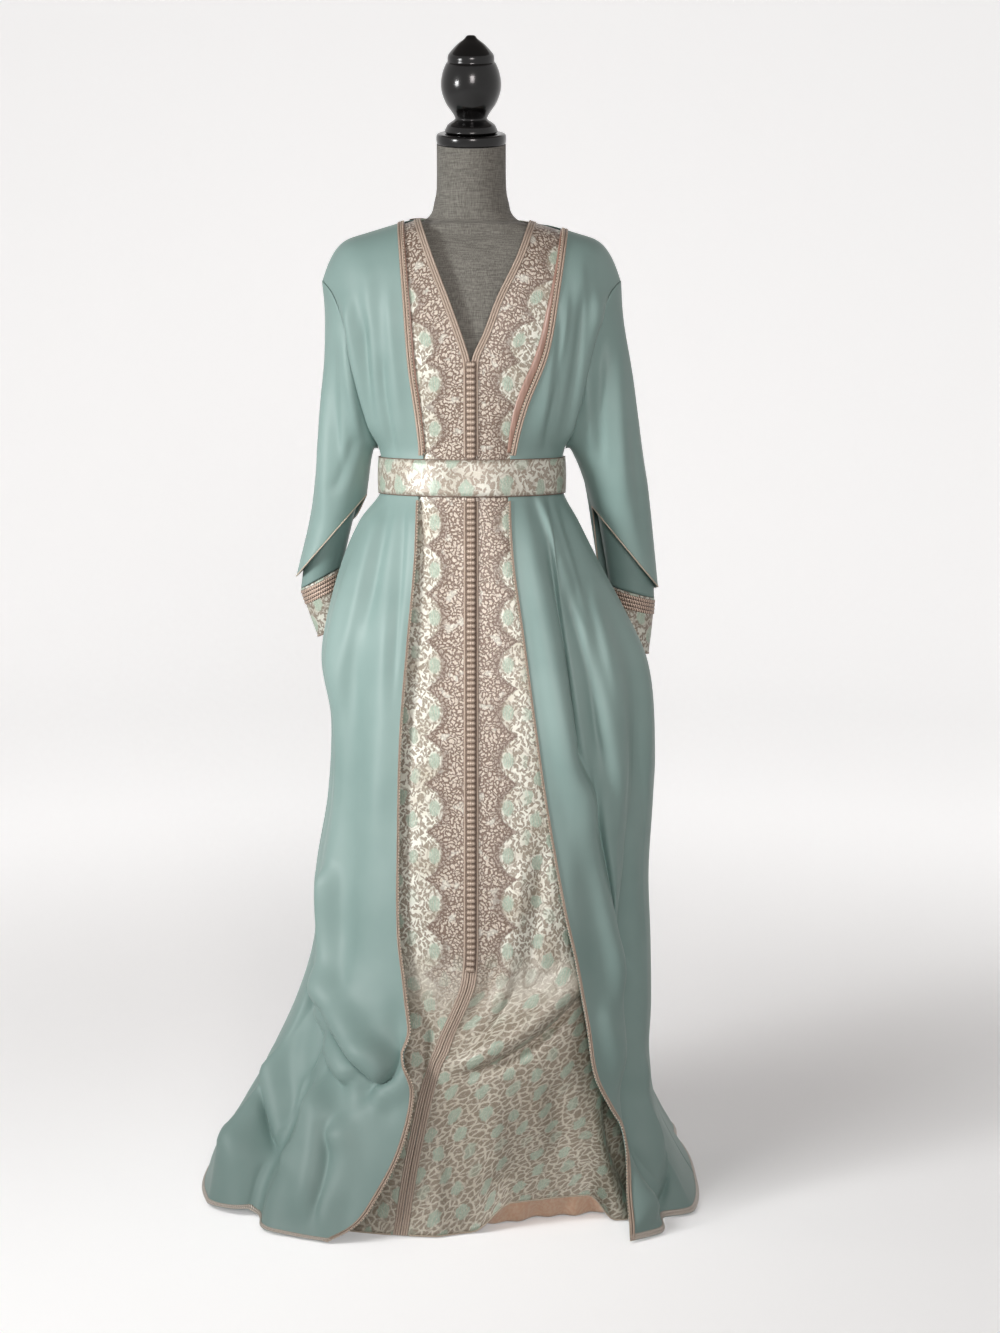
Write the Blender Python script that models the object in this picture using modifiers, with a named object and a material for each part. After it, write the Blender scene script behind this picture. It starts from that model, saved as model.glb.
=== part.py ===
"""Moroccan takchita on a limbless dress form: over-robe, under-dress, belt, form and stand.

Metres, +Z up. The front faces -Y, and "right" is +X. The origin is on the floor under the torso's axis.
Every cloth layer is the same drape surface moved out or in along its normal, so layers never cross.
A place on the drape is (turn, row): turn goes round the body in degrees, 0 at the centre front, 90 at the
right side, 180 at the centre back and 270 or -90 at the left side. Row 0 is the shoulder seam, row
WAIST_ROW the belt's top edge, and each row below it one row of SKIRT.
"""
import math

import bpy
from mathutils import Matrix, Vector

# Cloth and trim
WALL = 0.0018
TRIM_WALL = 0.0012
BELT_WALL = 0.0030
SEAM = 0.0004
SIDE_SEAM = 0.0011
LAYER = 0.0032
TRIM_GAP = 0.0007
BELT_OUT = 0.0070
BELT_EDGE_TOP = 0.002
BELT_EDGE_LOW = 0.001
UNDER_BELT_SHARE = 0.12
KNOTS_FROM_BELT = 0.004
BRAID_WIDTH = 0.009
SFIFA_WIDTH = 0.012
FACING_WALL = 0.00126
NECK_BRAID_GAP = 0.0035
HEM_CLEAR = 0.002
TRIM_MARGIN = 0.001
TRIM_LIFT = 0.0006
HEM_TRIM_GAPS = {"front_left": 0.0028, "front_right": 0.0010, "back": 0.0010}

# Shoulder seam: height at the neck point, slope, and the drop past the form's shoulder
NECK_POINT_X = 0.076
NECK_POINT_Z = 1.4885
SHOULDER_SLOPE = 0.30
DROP_START_X = 0.170
SHOULDER_REACH = 0.219
SHOULDER_DROP = 0.048
WAIST_Z = 1.137
BELT_LOW_Z = 1.081
WAIST_ROW = 11
UNDERARM_ROW = 10

# Bodice, a row for each section: share of the drop to the waist, depth of the front, of the back and of
# the armhole's edge from the shoulder plane, and how far the side reaches from the centre
BODICE_COLUMNS = ("fall", "front", "back", "arm", "reach")
BODICE = (
    (0.000, 0.0003, 0.0003, 0.0003, 0.219),
    (0.006, 0.030, 0.030, 0.020, 0.218),
    (0.026, 0.056, 0.055, 0.033, 0.212),
    (0.068, 0.078, 0.074, 0.043, 0.203),
    (0.140, 0.095, 0.088, 0.050, 0.194),
    (0.240, 0.108, 0.097, 0.054, 0.184),
    (0.380, 0.116, 0.101, 0.055, 0.172),
    (0.530, 0.119, 0.101, 0.052, 0.162),
    (0.690, 0.117, 0.098, 0.044, 0.153),
    (0.840, 0.112, 0.094, 0.030, 0.145),
    (0.955, 0.107, 0.091, 0.0003, 0.137),
    (1.000, 0.106, 0.090, 0.0003, 0.134),
)

# Skirt, a row for each height: half width left and right, depth of the front and back, and how square
# the plan is on each side, 2 being an ellipse
SKIRT_COLUMNS = ("z", "left", "right", "front", "back", "square_left", "square_right")
SKIRT = (
    (1.081, 0.135, 0.135, 0.112, 0.094, 2.0, 2.0),
    (1.040, 0.168, 0.160, 0.122, 0.108, 2.0, 2.0),
    (0.980, 0.196, 0.192, 0.132, 0.128, 2.0, 2.1),
    (0.900, 0.219, 0.236, 0.145, 0.150, 2.1, 2.2),
    (0.830, 0.229, 0.268, 0.155, 0.166, 2.1, 2.3),
    (0.740, 0.214, 0.279, 0.168, 0.182, 2.2, 2.3),
    (0.620, 0.219, 0.275, 0.183, 0.200, 2.2, 2.3),
    (0.500, 0.239, 0.269, 0.200, 0.218, 2.2, 2.3),
    (0.400, 0.241, 0.271, 0.213, 0.236, 2.2, 2.3),
    (0.300, 0.270, 0.272, 0.228, 0.256, 2.2, 2.4),
    (0.200, 0.316, 0.269, 0.245, 0.280, 2.2, 2.5),
    (0.120, 0.356, 0.286, 0.262, 0.304, 2.2, 2.7),
    (0.055, 0.400, 0.317, 0.280, 0.325, 2.2, 2.9),
    (0.014, 0.415, 0.341, 0.2935, 0.337, 2.2, 3.0),
    (HEM_CLEAR, 0.420, 0.348, 0.298, 0.340, 2.2, 3.0),
)

# Main folds of the skirt: turn at the top and at the hem, half width in degrees, rise (a trough is
# negative), and the heights where it starts, is full, begins to fade and ends
FOLD_COLUMNS = ("top_turn", "hem_turn", "spread", "rise", "start", "full", "fade", "end")
FOLDS = (
    (-104, -104, 26, -0.070, 1.075, 0.950, 0.840, 0.700),
    (105, 105, 29, -0.084, 1.075, 0.950, 0.810, 0.660),
    (-62, -58, 14, 0.010, 1.060, 0.800, 0.300, 0.050),
    (-78, -56, 15, -0.045, 0.420, 0.180, -1.0, -2.0),
    (38, 42, 12, -0.010, 1.060, 0.700, 0.400, 0.200),
    (60, 64, 12, -0.016, 1.060, 0.700, 0.300, 0.100),
    (66, 58, 13, -0.034, 0.300, 0.080, -1.0, -2.0),
    (128, 126, 16, 0.030, 1.040, 0.300, -1.0, -2.0),
    (154, 150, 13, -0.026, 1.040, 0.300, -1.0, -2.0),
    (180, 180, 15, 0.034, 1.040, 0.300, -1.0, -2.0),
    (208, 212, 13, -0.026, 1.040, 0.300, -1.0, -2.0),
    (234, 238, 16, 0.032, 1.040, 0.300, -1.0, -2.0),
)
UNDER_RIDGE_SHARE = 0.35
BACK_START = 0.01

# How far the under-dress lies inside the drape, and its tucked part at the right of the front hem
UNDER_COLUMNS = ("z", "inset")
UNDER = (
    (-1.0, 0.050), (0.0, 0.050), (0.12, 0.036), (0.30, 0.018), (0.60, 0.011), (0.90, 0.009), (1.03, 0.005),
    (1.081, 0.0),
)
TUCK_TURN = 24.0
TUCK_SPREAD = 30.0
TUCK_DEPTH = 0.052
TUCK_TOP_Z = 0.30
TUCK_HEM_Z = 0.040
TUCK_RISE_X = 0.060
TUCK_FALL_X = 0.040
TUCK_END_X = 0.215
TUCK_LIFT_Z = 0.150

# Distance of each front edge from the centre plane, by height
EDGE_COLUMNS = ("z", "x")
OVER_LEFT_EDGE = (
    (0.000, -0.212), (0.028, -0.166), (0.061, -0.140), (0.135, -0.101), (0.224, -0.082), (0.361, -0.094),
    (0.444, -0.104), (0.563, -0.105), (0.732, -0.101), (0.874, -0.090), (0.988, -0.080), (1.082, -0.076),
    (1.140, -0.069), (1.191, -0.073), (1.272, -0.084), (1.378, -0.092), (1.486, -0.101),
)
OVER_RIGHT_EDGE = (
    (0.000, 0.232), (0.062, 0.227), (0.112, 0.227), (0.148, 0.221), (0.177, 0.205), (0.229, 0.181),
    (0.300, 0.170), (0.391, 0.154), (0.484, 0.134), (0.642, 0.107), (0.741, 0.093), (0.874, 0.075),
    (0.988, 0.059), (1.079, 0.054), (1.140, 0.057), (1.210, 0.074), (1.290, 0.105), (1.378, 0.121),
    (1.472, 0.135),
)
PARTING = (
    (0.000, -0.115), (0.120, -0.092), (0.250, -0.058), (0.360, -0.008), (0.400, -0.001), (0.450, 0.000),
    (1.180, 0.000), (1.250, 0.000), (1.265, 0.000),
)
NECKLINE_LEFT = ((1.285, -0.002), (1.360, -0.028), (1.430, -0.055), (1.491, -0.076))
NECKLINE_RIGHT = ((1.285, 0.002), (1.320, 0.018), (1.370, 0.037), (1.430, 0.066), (1.491, 0.0875))
FACING_LEFT = ((1.140, 0.003), (1.300, 0.006), (1.400, 0.004), (1.500, 0.003))
FACING_RIGHT = ((1.140, 0.006), (1.230, 0.014), (1.330, 0.010), (1.400, 0.005), (1.500, 0.003))
BACK_EASE = 0.0036
BACK_EASE_ROWS = 8.0
BACK_NECK_ROW_OVER = 3.3
BACK_NECK_ROW_UNDER = 2.7
NECK_BRAID_REACH = 0.092

# Sleeves, a ring for each row: outer fold, inner fold, middle plane and half depth
SLEEVE_COLUMNS = ("outer_x", "outer_z", "inner_x", "inner_z", "middle", "depth")
OVER_SLEEVES = {
    -1: (
        (0.2205, 1.345, 0.1475, 1.147, 0.004, 0.054),
        (0.2260, 1.250, 0.1510, 1.137, 0.012, 0.054),
        (0.2350, 1.150, 0.1540, 1.122, 0.020, 0.053),
        (0.2450, 1.055, 0.1570, 1.102, 0.028, 0.051),
        (0.2700, 0.951, 0.1610, 1.076, 0.034, 0.048),
    ),
    1: (
        (0.2280, 1.345, 0.1480, 1.147, 0.004, 0.054),
        (0.2460, 1.250, 0.1550, 1.135, 0.012, 0.054),
        (0.2600, 1.150, 0.1630, 1.117, 0.020, 0.053),
        (0.2720, 1.055, 0.1720, 1.092, 0.028, 0.051),
        (0.2850, 0.935, 0.1830, 1.058, 0.034, 0.048),
    ),
}
UNDER_SLEEVES = {
    -1: (
        (0.2150, 1.340, 0.1500, 1.158, 0.004, 0.044),
        (0.2200, 1.250, 0.1580, 1.150, 0.012, 0.042),
        (0.2290, 1.150, 0.1640, 1.130, 0.020, 0.040),
        (0.2390, 1.055, 0.1710, 1.085, 0.029, 0.037),
        (0.2570, 0.975, 0.1880, 1.015, 0.038, 0.034),
        (0.2640, 0.932, 0.2000, 0.966, 0.044, 0.030),
    ),
    1: (
        (0.2220, 1.340, 0.1500, 1.158, 0.004, 0.044),
        (0.2390, 1.250, 0.1620, 1.150, 0.012, 0.042),
        (0.2520, 1.150, 0.1720, 1.130, 0.020, 0.040),
        (0.2640, 1.055, 0.1840, 1.085, 0.029, 0.037),
        (0.2760, 0.975, 0.2000, 1.000, 0.038, 0.034),
        (0.2800, 0.917, 0.2110, 0.936, 0.044, 0.030),
    ),
}
CUFFS = {
    -1: ((0.2643, 0.9308, 0.2002, 0.9645, 0.0444, 0.0302), (0.252, 0.893, 0.189, 0.926, 0.046, 0.029),
         (0.2390, 0.857, 0.1780, 0.888, 0.046, 0.028)),
    1: ((0.2802, 0.9164, 0.2110, 0.9354, 0.0444, 0.0302), (0.277, 0.872, 0.206, 0.890, 0.046, 0.029),
        (0.2720, 0.831, 0.2030, 0.847, 0.042, 0.027)),
}
UNDERARM_LIFT = 0.0045
INNER_SLEEVE_SHARE = 0.90

# Lining below the tucked hem
LINING_LEFT_X = 0.026
LINING_RIGHT_X = 0.200
LINING_BACK = 0.034
LINING_OVERLAP = 0.004
LINING_POINTS = 9

# Closure
KNOT_PITCH = 0.0084
KNOT_RADIUS = 0.0036
KNOT_NECK_RADIUS = 0.0020
CLOSURE_TOP_Z = 1.280
CLOSURE_LOW_Z = 0.392

# Dress form, a ring for each height: half width, depth of the front and back, and shift forward
FORM_COLUMNS = ("z", "half_width", "front", "back", "shift")
FORM = (
    (0.880, 0.070, 0.062, 0.062, 0.0), (0.884, 0.096, 0.080, 0.078, 0.0), (0.900, 0.112, 0.092, 0.086, 0.0),
    (0.960, 0.112, 0.100, 0.088, 0.0), (1.030, 0.112, 0.097, 0.082, 0.0), (1.080, 0.112, 0.090, 0.078, 0.0),
    (1.137, 0.114, 0.089, 0.078, 0.0), (1.200, 0.124, 0.097, 0.082, 0.0), (1.260, 0.136, 0.104, 0.086, 0.0),
    (1.310, 0.146, 0.106, 0.088, 0.0), (1.360, 0.158, 0.101, 0.088, 0.0), (1.400, 0.170, 0.093, 0.084, 0.0),
    (1.430, 0.176, 0.084, 0.070, 0.0), (1.4525, 0.1700, 0.072, 0.058, 0.0),
)
FORM_SIDES = 20
FORM_TOUCH = 0.0029
FORM_SHOULDER_COLUMNS = ("half_width", "front", "back")
FORM_SHOULDER = ((0.150, 0.0640, 0.043), (0.125, 0.0645, 0.043), (0.100, 0.0650, 0.043))
NECK = (
    (1.4840, 0.0740, 0.056, 0.040, 0.000), (1.4960, 0.0600, 0.055, 0.041, 0.002),
    (1.5120, 0.0555, 0.054, 0.046, 0.005), (1.5350, 0.0515, 0.051, 0.048, 0.009),
    (1.6000, 0.0510, 0.051, 0.048, 0.019),
)
NECK_TILT = math.radians(12.0)
CAP_RADIUS = 0.0515
CAP_THICK = 0.016
CAP_EDGE = 0.002
NECK_TOP_Y = -0.0205
FINIAL_COLUMNS = ("radius", "height")
FINIAL = (
    (0.0, 0.1400), (0.0060, 0.1390), (0.0100, 0.1345), (0.0200, 0.1270), (0.0305, 0.1160),
    (0.0340, 0.1100), (0.0345, 0.1020), (0.0365, 0.1000), (0.0415, 0.0880), (0.0443, 0.0725),
    (0.0430, 0.0580), (0.0370, 0.0425),
    (0.0290, 0.0310), (0.0245, 0.0235), (0.0245, 0.0195), (0.0330, 0.0135), (0.0365, 0.0090),
    (0.0365, 0.0), (0.0, 0.0),
)

# Stand
POLE_RADIUS = 0.014
STAND_Y = 0.040
BASE_RADIUS = 0.125
BASE_HEIGHT = 0.018
BASE_EDGE = 0.012
BASE_RIM = 0.006
STAND_GAP = 0.0003
DISC_STEPS = 28
POST_STEPS = 16

# Looks: base colour, roughness, metallic
FINISHES = {
    "sage_crepe": ((0.29, 0.43, 0.39), 0.62, 0.0),
    "champagne_brocade": ((0.52, 0.48, 0.38), 0.45, 0.15),
    "rose_gold_braid": ((0.42, 0.30, 0.24), 0.45, 0.3),
    "rose_satin": ((0.55, 0.33, 0.26), 0.35, 0.0),
    "peach_satin": ((0.80, 0.56, 0.40), 0.35, 0.0),
    "grey_linen": ((0.12, 0.12, 0.11), 0.85, 0.0),
    "black_lacquer": ((0.006, 0.006, 0.006), 0.15, 0.0),
    "painted_steel": ((0.02, 0.02, 0.02), 0.4, 0.4),
}


def read_table(columns, rows, where):
    """The rows' values where the first column reaches `where`, on a smooth curve through the rows."""
    keys = [row[0] for row in rows]
    where = min(max(where, min(keys)), max(keys))
    if keys[0] > keys[-1]:
        rows = rows[::-1]
        keys = keys[::-1]
    after = next(i for i in range(1, len(keys)) if where <= keys[i])
    before = after - 1
    step = keys[after] - keys[before]
    part = (where - keys[before]) / step

    def slope(i, column):
        low = max(i - 1, 0)
        high = min(i + 1, len(rows) - 1)
        return (rows[high][column] - rows[low][column]) / (keys[high] - keys[low])

    values = {}
    for column, name in enumerate(columns):
        a = rows[before][column]
        b = rows[after][column]
        up = slope(before, column) * step
        down = slope(after, column) * step
        values[name] = (
            a * (1 + 2 * part) * (1 - part) ** 2 + up * part * (1 - part) ** 2
            + b * part * part * (3 - 2 * part) + down * part * part * (part - 1)
        )
    return values


BODICE_BY_ROW = tuple((float(row),) + values for row, values in enumerate(BODICE))
SKIRT_LAST_ROW = WAIST_ROW + len(SKIRT)


def shoulder_height(x):
    """Height of the shoulder seam at a distance from the centre."""
    past = max(0.0, (x - DROP_START_X) / (SHOULDER_REACH - DROP_START_X))
    return NECK_POINT_Z - SHOULDER_SLOPE * (x - NECK_POINT_X) - SHOULDER_DROP * past ** 3


def skirt_height(row):
    """Height of a row below the waist."""
    heights = [WAIST_Z] + [values[0] for values in SKIRT]
    place = min(max(row - WAIST_ROW, 0.0), len(heights) - 1.0)
    low = min(int(place), len(heights) - 2)
    return heights[low] + (heights[low + 1] - heights[low]) * (place - low)


def smooth(value):
    value = min(max(value, 0.0), 1.0)
    return value * value * (3 - 2 * value)


def fold_rise(turn, z, under):
    """How far the folds lift the drape out at a place. The under-dress follows the troughs in full."""
    turn = (turn + 90.0) % 360.0 - 90.0
    rise = 0.0
    for row in FOLDS:
        fold = dict(zip(FOLD_COLUMNS, row))
        strength = smooth((fold["start"] - z) / (fold["start"] - fold["full"]))
        strength *= smooth((z - fold["end"]) / (fold["fade"] - fold["end"]))
        share = min(max((WAIST_Z - z) / WAIST_Z, 0.0), 1.0)
        middle = fold["top_turn"] + (fold["hem_turn"] - fold["top_turn"]) * share
        middle = (middle + 90.0) % 360.0 - 90.0
        away = abs(turn - middle)
        away = min(away, 360.0 - away)
        if away < fold["spread"]:
            bump = 0.5 + 0.5 * math.cos(math.pi * away / fold["spread"])
            share = UNDER_RIDGE_SHARE if under and fold["rise"] > 0 else 1.0
            rise += fold["rise"] * strength * bump * share
    return rise


def skirt_values(z):
    """The skirt's section at a height, blended into the bodice's last row at the belt."""
    waist = BODICE[-1]
    top = (WAIST_Z, waist[4], waist[4], waist[1], waist[2], 2.0, 2.0)
    return read_table(SKIRT_COLUMNS, (top,) + SKIRT, z)


def drape(turn, row, under=False):
    """A point of the drape surface."""
    angle = math.radians(turn)
    across = math.sin(angle)
    along = math.cos(angle)
    if row <= WAIST_ROW:
        values = read_table(("row",) + BODICE_COLUMNS, BODICE_BY_ROW, row)
        seam = shoulder_height(abs(across) * SHOULDER_REACH)
        depth = values["front"] if along > 0 else values["back"]
        depth = values["arm"] + (depth - values["arm"]) * abs(along)
        z = seam + (WAIST_Z - seam) * values["fall"]
        return Vector((across * values["reach"], -depth if along > 0 else depth, z))
    z = skirt_height(row)
    values = skirt_values(z)
    half_width = values["right"] if across > 0 else values["left"]
    power = 2.0 / (values["square_right"] if across > 0 else values["square_left"])
    depth = values["front"] if along > 0 else values["back"]
    x = math.copysign(half_width * abs(across) ** power, across)
    y = -math.copysign(depth * abs(along) ** power, along)
    out = Vector((x / half_width ** 2, y / depth ** 2, 0.0)).normalized()
    rise = fold_rise(turn, z, under)
    if under:
        rise -= read_table(UNDER_COLUMNS, UNDER, z)["inset"]
        tuck = max(0.0, 1.0 - ((turn - TUCK_TURN) / TUCK_SPREAD) ** 2) if -90 < turn < 90 else 0.0
        rise -= TUCK_DEPTH * tuck * smooth((TUCK_TOP_Z - z) / TUCK_TOP_Z)
    return Vector((x, y, z)) + out * rise


def moved_out(turn, row, out, under=False):
    """A point of the drape, moved out along the surface's normal."""
    small_turn = 1.0
    small_row = 0.05
    top = max(row - small_row, 0.0)
    low = min(row + small_row, float(SKIRT_LAST_ROW))
    middle = turn
    if row < UNDERARM_ROW - 0.5:
        # At an armhole the surface ends at the side, so the slope is taken just inside it
        inside = 90.0 - 3.0 * small_turn
        middle = max(-inside, min(inside, turn)) if turn <= 90.0 else 180.0 + max(
            -inside, min(inside, turn - 180.0))
    down = drape(middle, low, under) - drape(middle, top, under)
    around = drape(middle + small_turn, row, under) - drape(middle - small_turn, row, under)
    normal = down.cross(around).normalized()
    return drape(turn, row, under) + normal * out


def turn_at(x, row, under=False):
    """The turn, on the front, at which the drape lies a distance x from the centre plane."""
    if row <= WAIST_ROW:
        reach = read_table(("row",) + BODICE_COLUMNS, BODICE_BY_ROW, row)["reach"]
        return math.degrees(math.asin(max(-1.0, min(1.0, x / reach))))
    values = skirt_values(skirt_height(row))
    reach = values["right"] if x > 0 else values["left"]
    power = (values["square_right"] if x > 0 else values["square_left"]) / 2.0
    share = min(abs(x) / reach, 1.0) ** power
    return math.degrees(math.copysign(math.asin(share), x))


def edge_turn(edge, row, shift=0.0):
    """Turn of a front edge at a row. The edge's height comes from the drape near its own place."""
    x = 0.0
    for _ in range(4):
        z = drape(turn_at(x, row), row).z
        x = read_table(EDGE_COLUMNS, edge, z)["x"]
    return turn_at(x + shift, row)


def new_finish(name):
    colour, roughness, metallic = FINISHES[name]
    finish = bpy.data.materials.get(name) or bpy.data.materials.new(name)
    finish.use_nodes = True
    shader = finish.node_tree.nodes["Principled BSDF"]
    shader.inputs["Base Color"].default_value = (*colour, 1.0)
    shader.inputs["Roughness"].default_value = roughness
    shader.inputs["Metallic"].default_value = metallic
    return finish


def new_object(name, points, faces, finish, collection):
    mesh = bpy.data.meshes.new(name)
    mesh.from_pydata([tuple(point) for point in points], [], faces)
    mesh.update()
    mesh.shade_smooth()
    piece = bpy.data.objects.new(name, mesh)
    mesh.materials.append(new_finish(finish))
    collection.objects.link(piece)
    return piece


def cloth_wall(name, grid, wall, finish, collection, tube=False):
    """An open sheet of triangles through rows of points, thickened inwards by Solidify."""
    wide = len(grid[0])
    points = [point for row in grid for point in row]
    faces = []
    for r in range(len(grid) - 1):
        for c in range(wide if tube else wide - 1):
            a = r * wide + c
            b = r * wide + (c + 1) % wide
            faces.append((a, a + wide, b + wide))
            faces.append((a, b + wide, b))
    piece = new_object(name, points, faces, finish, collection)
    shell = piece.modifiers.new("wall", "SOLIDIFY")
    shell.thickness = wall
    shell.offset = -1.0
    return piece


def spread(first, last, count):
    return [first + (last - first) * i / (count - 1) for i in range(count)]


def side_gap(row, back, side):
    """Degrees from the side at which a panel ends, so that half the seam's gap is left."""
    if row < UNDERARM_ROW:
        return BACK_START
    if row <= WAIST_ROW:
        return math.degrees(0.5 * SIDE_SEAM / BODICE[-1][4])
    values = skirt_values(skirt_height(row))
    depth = values["back"] if back else values["front"]
    square = values["square_right"] if side > 0 else values["square_left"]
    return math.degrees(math.asin((0.5 * SIDE_SEAM / depth) ** (0.5 * square)))


def front_side(side):
    """Turn of a front's side seam, as a function of the row."""
    return lambda row: side * (90.0 - side_gap(row, False, side))


def panel_grid(start, end, rows, columns, out, under=False, trim=0.0):
    """Points of a panel between two edges, each a function that gives the turn at a row.

    Where a trim lies along the front edge, the first column is as wide as the trim and its margin.
    """
    grid = []
    for row in rows:
        first = start(row)
        last = end(row)
        toward = 1.0 if last > first else -1.0
        front_first = abs(first) < abs(last)
        edge = first if front_first else last
        step = (drape(edge + toward, row, under) - drape(edge - toward, row, under)).length / 2.0
        margin = (trim + TRIM_MARGIN) / max(step, 1e-4)
        if front_first:
            turns = [first] + spread(first + toward * margin, last, columns - 1)
        else:
            turns = spread(first, last - toward * margin, columns - 1) + [last]
        grid.append([moved_out(turn, row, out, under) for turn in turns])
    return grid


BODICE_ROWS = [float(row) for row in range(WAIST_ROW + 1)]
SKIRT_ROWS = [float(row) for row in range(WAIST_ROW + 1, SKIRT_LAST_ROW + 1)]
ALL_ROWS = BODICE_ROWS + SKIRT_ROWS


def over_edge(side):
    edge = OVER_LEFT_EDGE if side < 0 else OVER_RIGHT_EDGE
    return lambda row: edge_turn(edge, row)


def under_edge(side):
    """Edge of an under-dress front: the V neck, then the parting."""
    neckline = NECKLINE_LEFT if side < 0 else NECKLINE_RIGHT
    edge = PARTING + neckline
    return lambda row: edge_turn(edge, row, side * 0.5 * SEAM)


def make_over_robe(collection):
    panels = {
        "over_front_left": panel_grid(
            front_side(-1), over_edge(-1), ALL_ROWS, 12, LAYER, False, BRAID_WIDTH),
        "over_front_right": panel_grid(
            over_edge(1), front_side(1), ALL_ROWS, 12, LAYER, False, BRAID_WIDTH),
        "over_back": back_grid(BACK_NECK_ROW_OVER, OVER_LEFT_EDGE, OVER_RIGHT_EDGE, 19, LAYER, False),
    }
    for name, grid in panels.items():
        cloth_wall(name, grid, WALL, "sage_crepe", collection)
    return panels


def neck_start(turn, deepest, left_edge, right_edge):
    """Row where the back begins: the shoulder seam, or the neck's curve between the neck points."""
    x = math.sin(math.radians(turn)) * SHOULDER_REACH
    neck = -left_edge[-1][1] if x < 0 else right_edge[-1][1]
    share = min(abs(x) / neck, 1.0)
    return deepest * (1.0 - share * share) ** 1.2


def back_grid(deepest, left_edge, right_edge, columns, out, under):
    grid = []
    for row in ALL_ROWS:
        points = []
        for turn in spread(90.0 + side_gap(row, True, 1), 270.0 - side_gap(row, True, -1), columns):
            start = neck_start(turn, deepest, left_edge, right_edge)
            place = start + (WAIST_ROW - start) * row / WAIST_ROW if row <= WAIST_ROW else row
            share = min(row / BACK_EASE_ROWS, 1.0)
            inboard = min(1.5 * abs(math.cos(math.radians(turn))), 1.0)
            swell = max(4.0 * share, min(start, 1.0)) * (1.0 - share) * inboard
            ease = 0.0 if under else BACK_EASE * swell
            points.append(moved_out(turn, place, out + ease, under))
        grid.append(points)
    return grid


def make_under_dress(collection):
    panels = {
        "under_front_left": panel_grid(
            front_side(-1), under_edge(-1), ALL_ROWS, 10, 0.0, True, SFIFA_WIDTH),
        "under_front_right": panel_grid(
            under_edge(1), front_side(1), ALL_ROWS, 14, 0.0, True, SFIFA_WIDTH),
        "under_back": back_grid(BACK_NECK_ROW_UNDER, NECKLINE_LEFT, NECKLINE_RIGHT, 19, 0.0, True),
    }
    for row in panels["under_front_right"]:
        for point in row:
            point.z = lifted(point)
    for name, grid in panels.items():
        cloth_wall(name, grid, WALL, "champagne_brocade", collection)
    return panels


def lifted(point):
    """Height of a point of the under-dress front once its hem is lifted."""
    if point.z > TUCK_LIFT_Z:
        return point.z
    hem = hem_height(point.x)
    return hem + (point.z - HEM_CLEAR) * (TUCK_LIFT_Z - hem) / (TUCK_LIFT_Z - HEM_CLEAR)


def hem_height(x):
    """Height of the under-dress hem, lifted where it is tucked under."""
    return HEM_CLEAR + TUCK_HEM_Z * smooth(x / TUCK_RISE_X) * smooth((TUCK_END_X - x) / TUCK_FALL_X)


def armhole(side, out, under):
    """The armhole's edge as pairs of share of its height and point, front down and back up."""
    front = [moved_out(side * 90.0, float(row), out, under) for row in range(UNDERARM_ROW + 1)]
    back = [point * 1.0 for point in front[1:-1]]
    for row, point in enumerate(back, start=1):
        point.y = -point.y
    return front + back[::-1]


def sleeve_rings(side, table, out, under):
    """Rings of a sleeve, from the armhole's own edge to the last row of its table."""
    edge = armhole(side, out, under)
    top = edge[0].z
    low = edge[UNDERARM_ROW].z
    shares = [(point.z - low) / (top - low) for point in edge]
    rings = []
    first = []
    for share, point in zip(shares, edge):
        lift = UNDERARM_LIFT * (1.0 - share) ** 3 if under else 0.0
        squeeze = INNER_SLEEVE_SHARE if under else 1.0
        shift = Vector((side * (SEAM if under else 2.5 * SEAM), 0.0, lift - 2.0 * SEAM))
        first.append(Vector((point.x, point.y * squeeze, point.z)) + shift)
    rings.append(first)
    return rings + [table_ring(side, row, shares) for row in table]


def table_ring(side, row, shares):
    values = dict(zip(SLEEVE_COLUMNS, row))
    outer = Vector((side * values["outer_x"], values["middle"], values["outer_z"]))
    inner = Vector((side * values["inner_x"], values["middle"], values["inner_z"]))
    ring = []
    for i, share in enumerate(shares):
        swell = math.sqrt(max(0.0, 1.0 - (2.0 * share - 1.0) ** 2))
        face = -1.0 if i <= UNDERARM_ROW else 1.0
        ring.append(inner.lerp(outer, share) + Vector((0.0, face * values["depth"] * swell, 0.0)))
    return ring


def make_sleeves(collection):
    for side, word in ((-1, "left"), (1, "right")):
        over = sleeve_rings(side, OVER_SLEEVES[side], LAYER, False)
        under = sleeve_rings(side, UNDER_SLEEVES[side], 0.0, True)
        edge = armhole(side, 0.0, True)
        span = edge[0].z - edge[UNDERARM_ROW].z
        shares = [(point.z - edge[UNDERARM_ROW].z) / span for point in edge]
        cuff = [table_ring(side, row, shares) for row in CUFFS[side]]
        for name, rings, finish in (
            ("over_sleeve_", over, "sage_crepe"),
            ("under_sleeve_", under, "sage_crepe"),
            ("under_cuff_", cuff, "champagne_brocade"),
        ):
            grid = rings if side > 0 else [ring[::-1] for ring in rings]
            cloth_wall(name + word, grid, WALL, finish, collection, tube=True)


def make_belt(collection):
    rows = [WAIST_ROW + 0.0, WAIST_ROW + 1.0]
    grid = [[moved_out(turn, row, BELT_OUT) for turn in spread(-90.0, 261.0, 40)] for row in rows]
    for point in grid[0]:
        point.z = WAIST_Z - BELT_EDGE_TOP
    for point in grid[-1]:
        point.z = BELT_LOW_Z + BELT_EDGE_LOW
    cloth_wall("belt", grid, BELT_WALL, "champagne_brocade", collection, tube=True)


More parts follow.
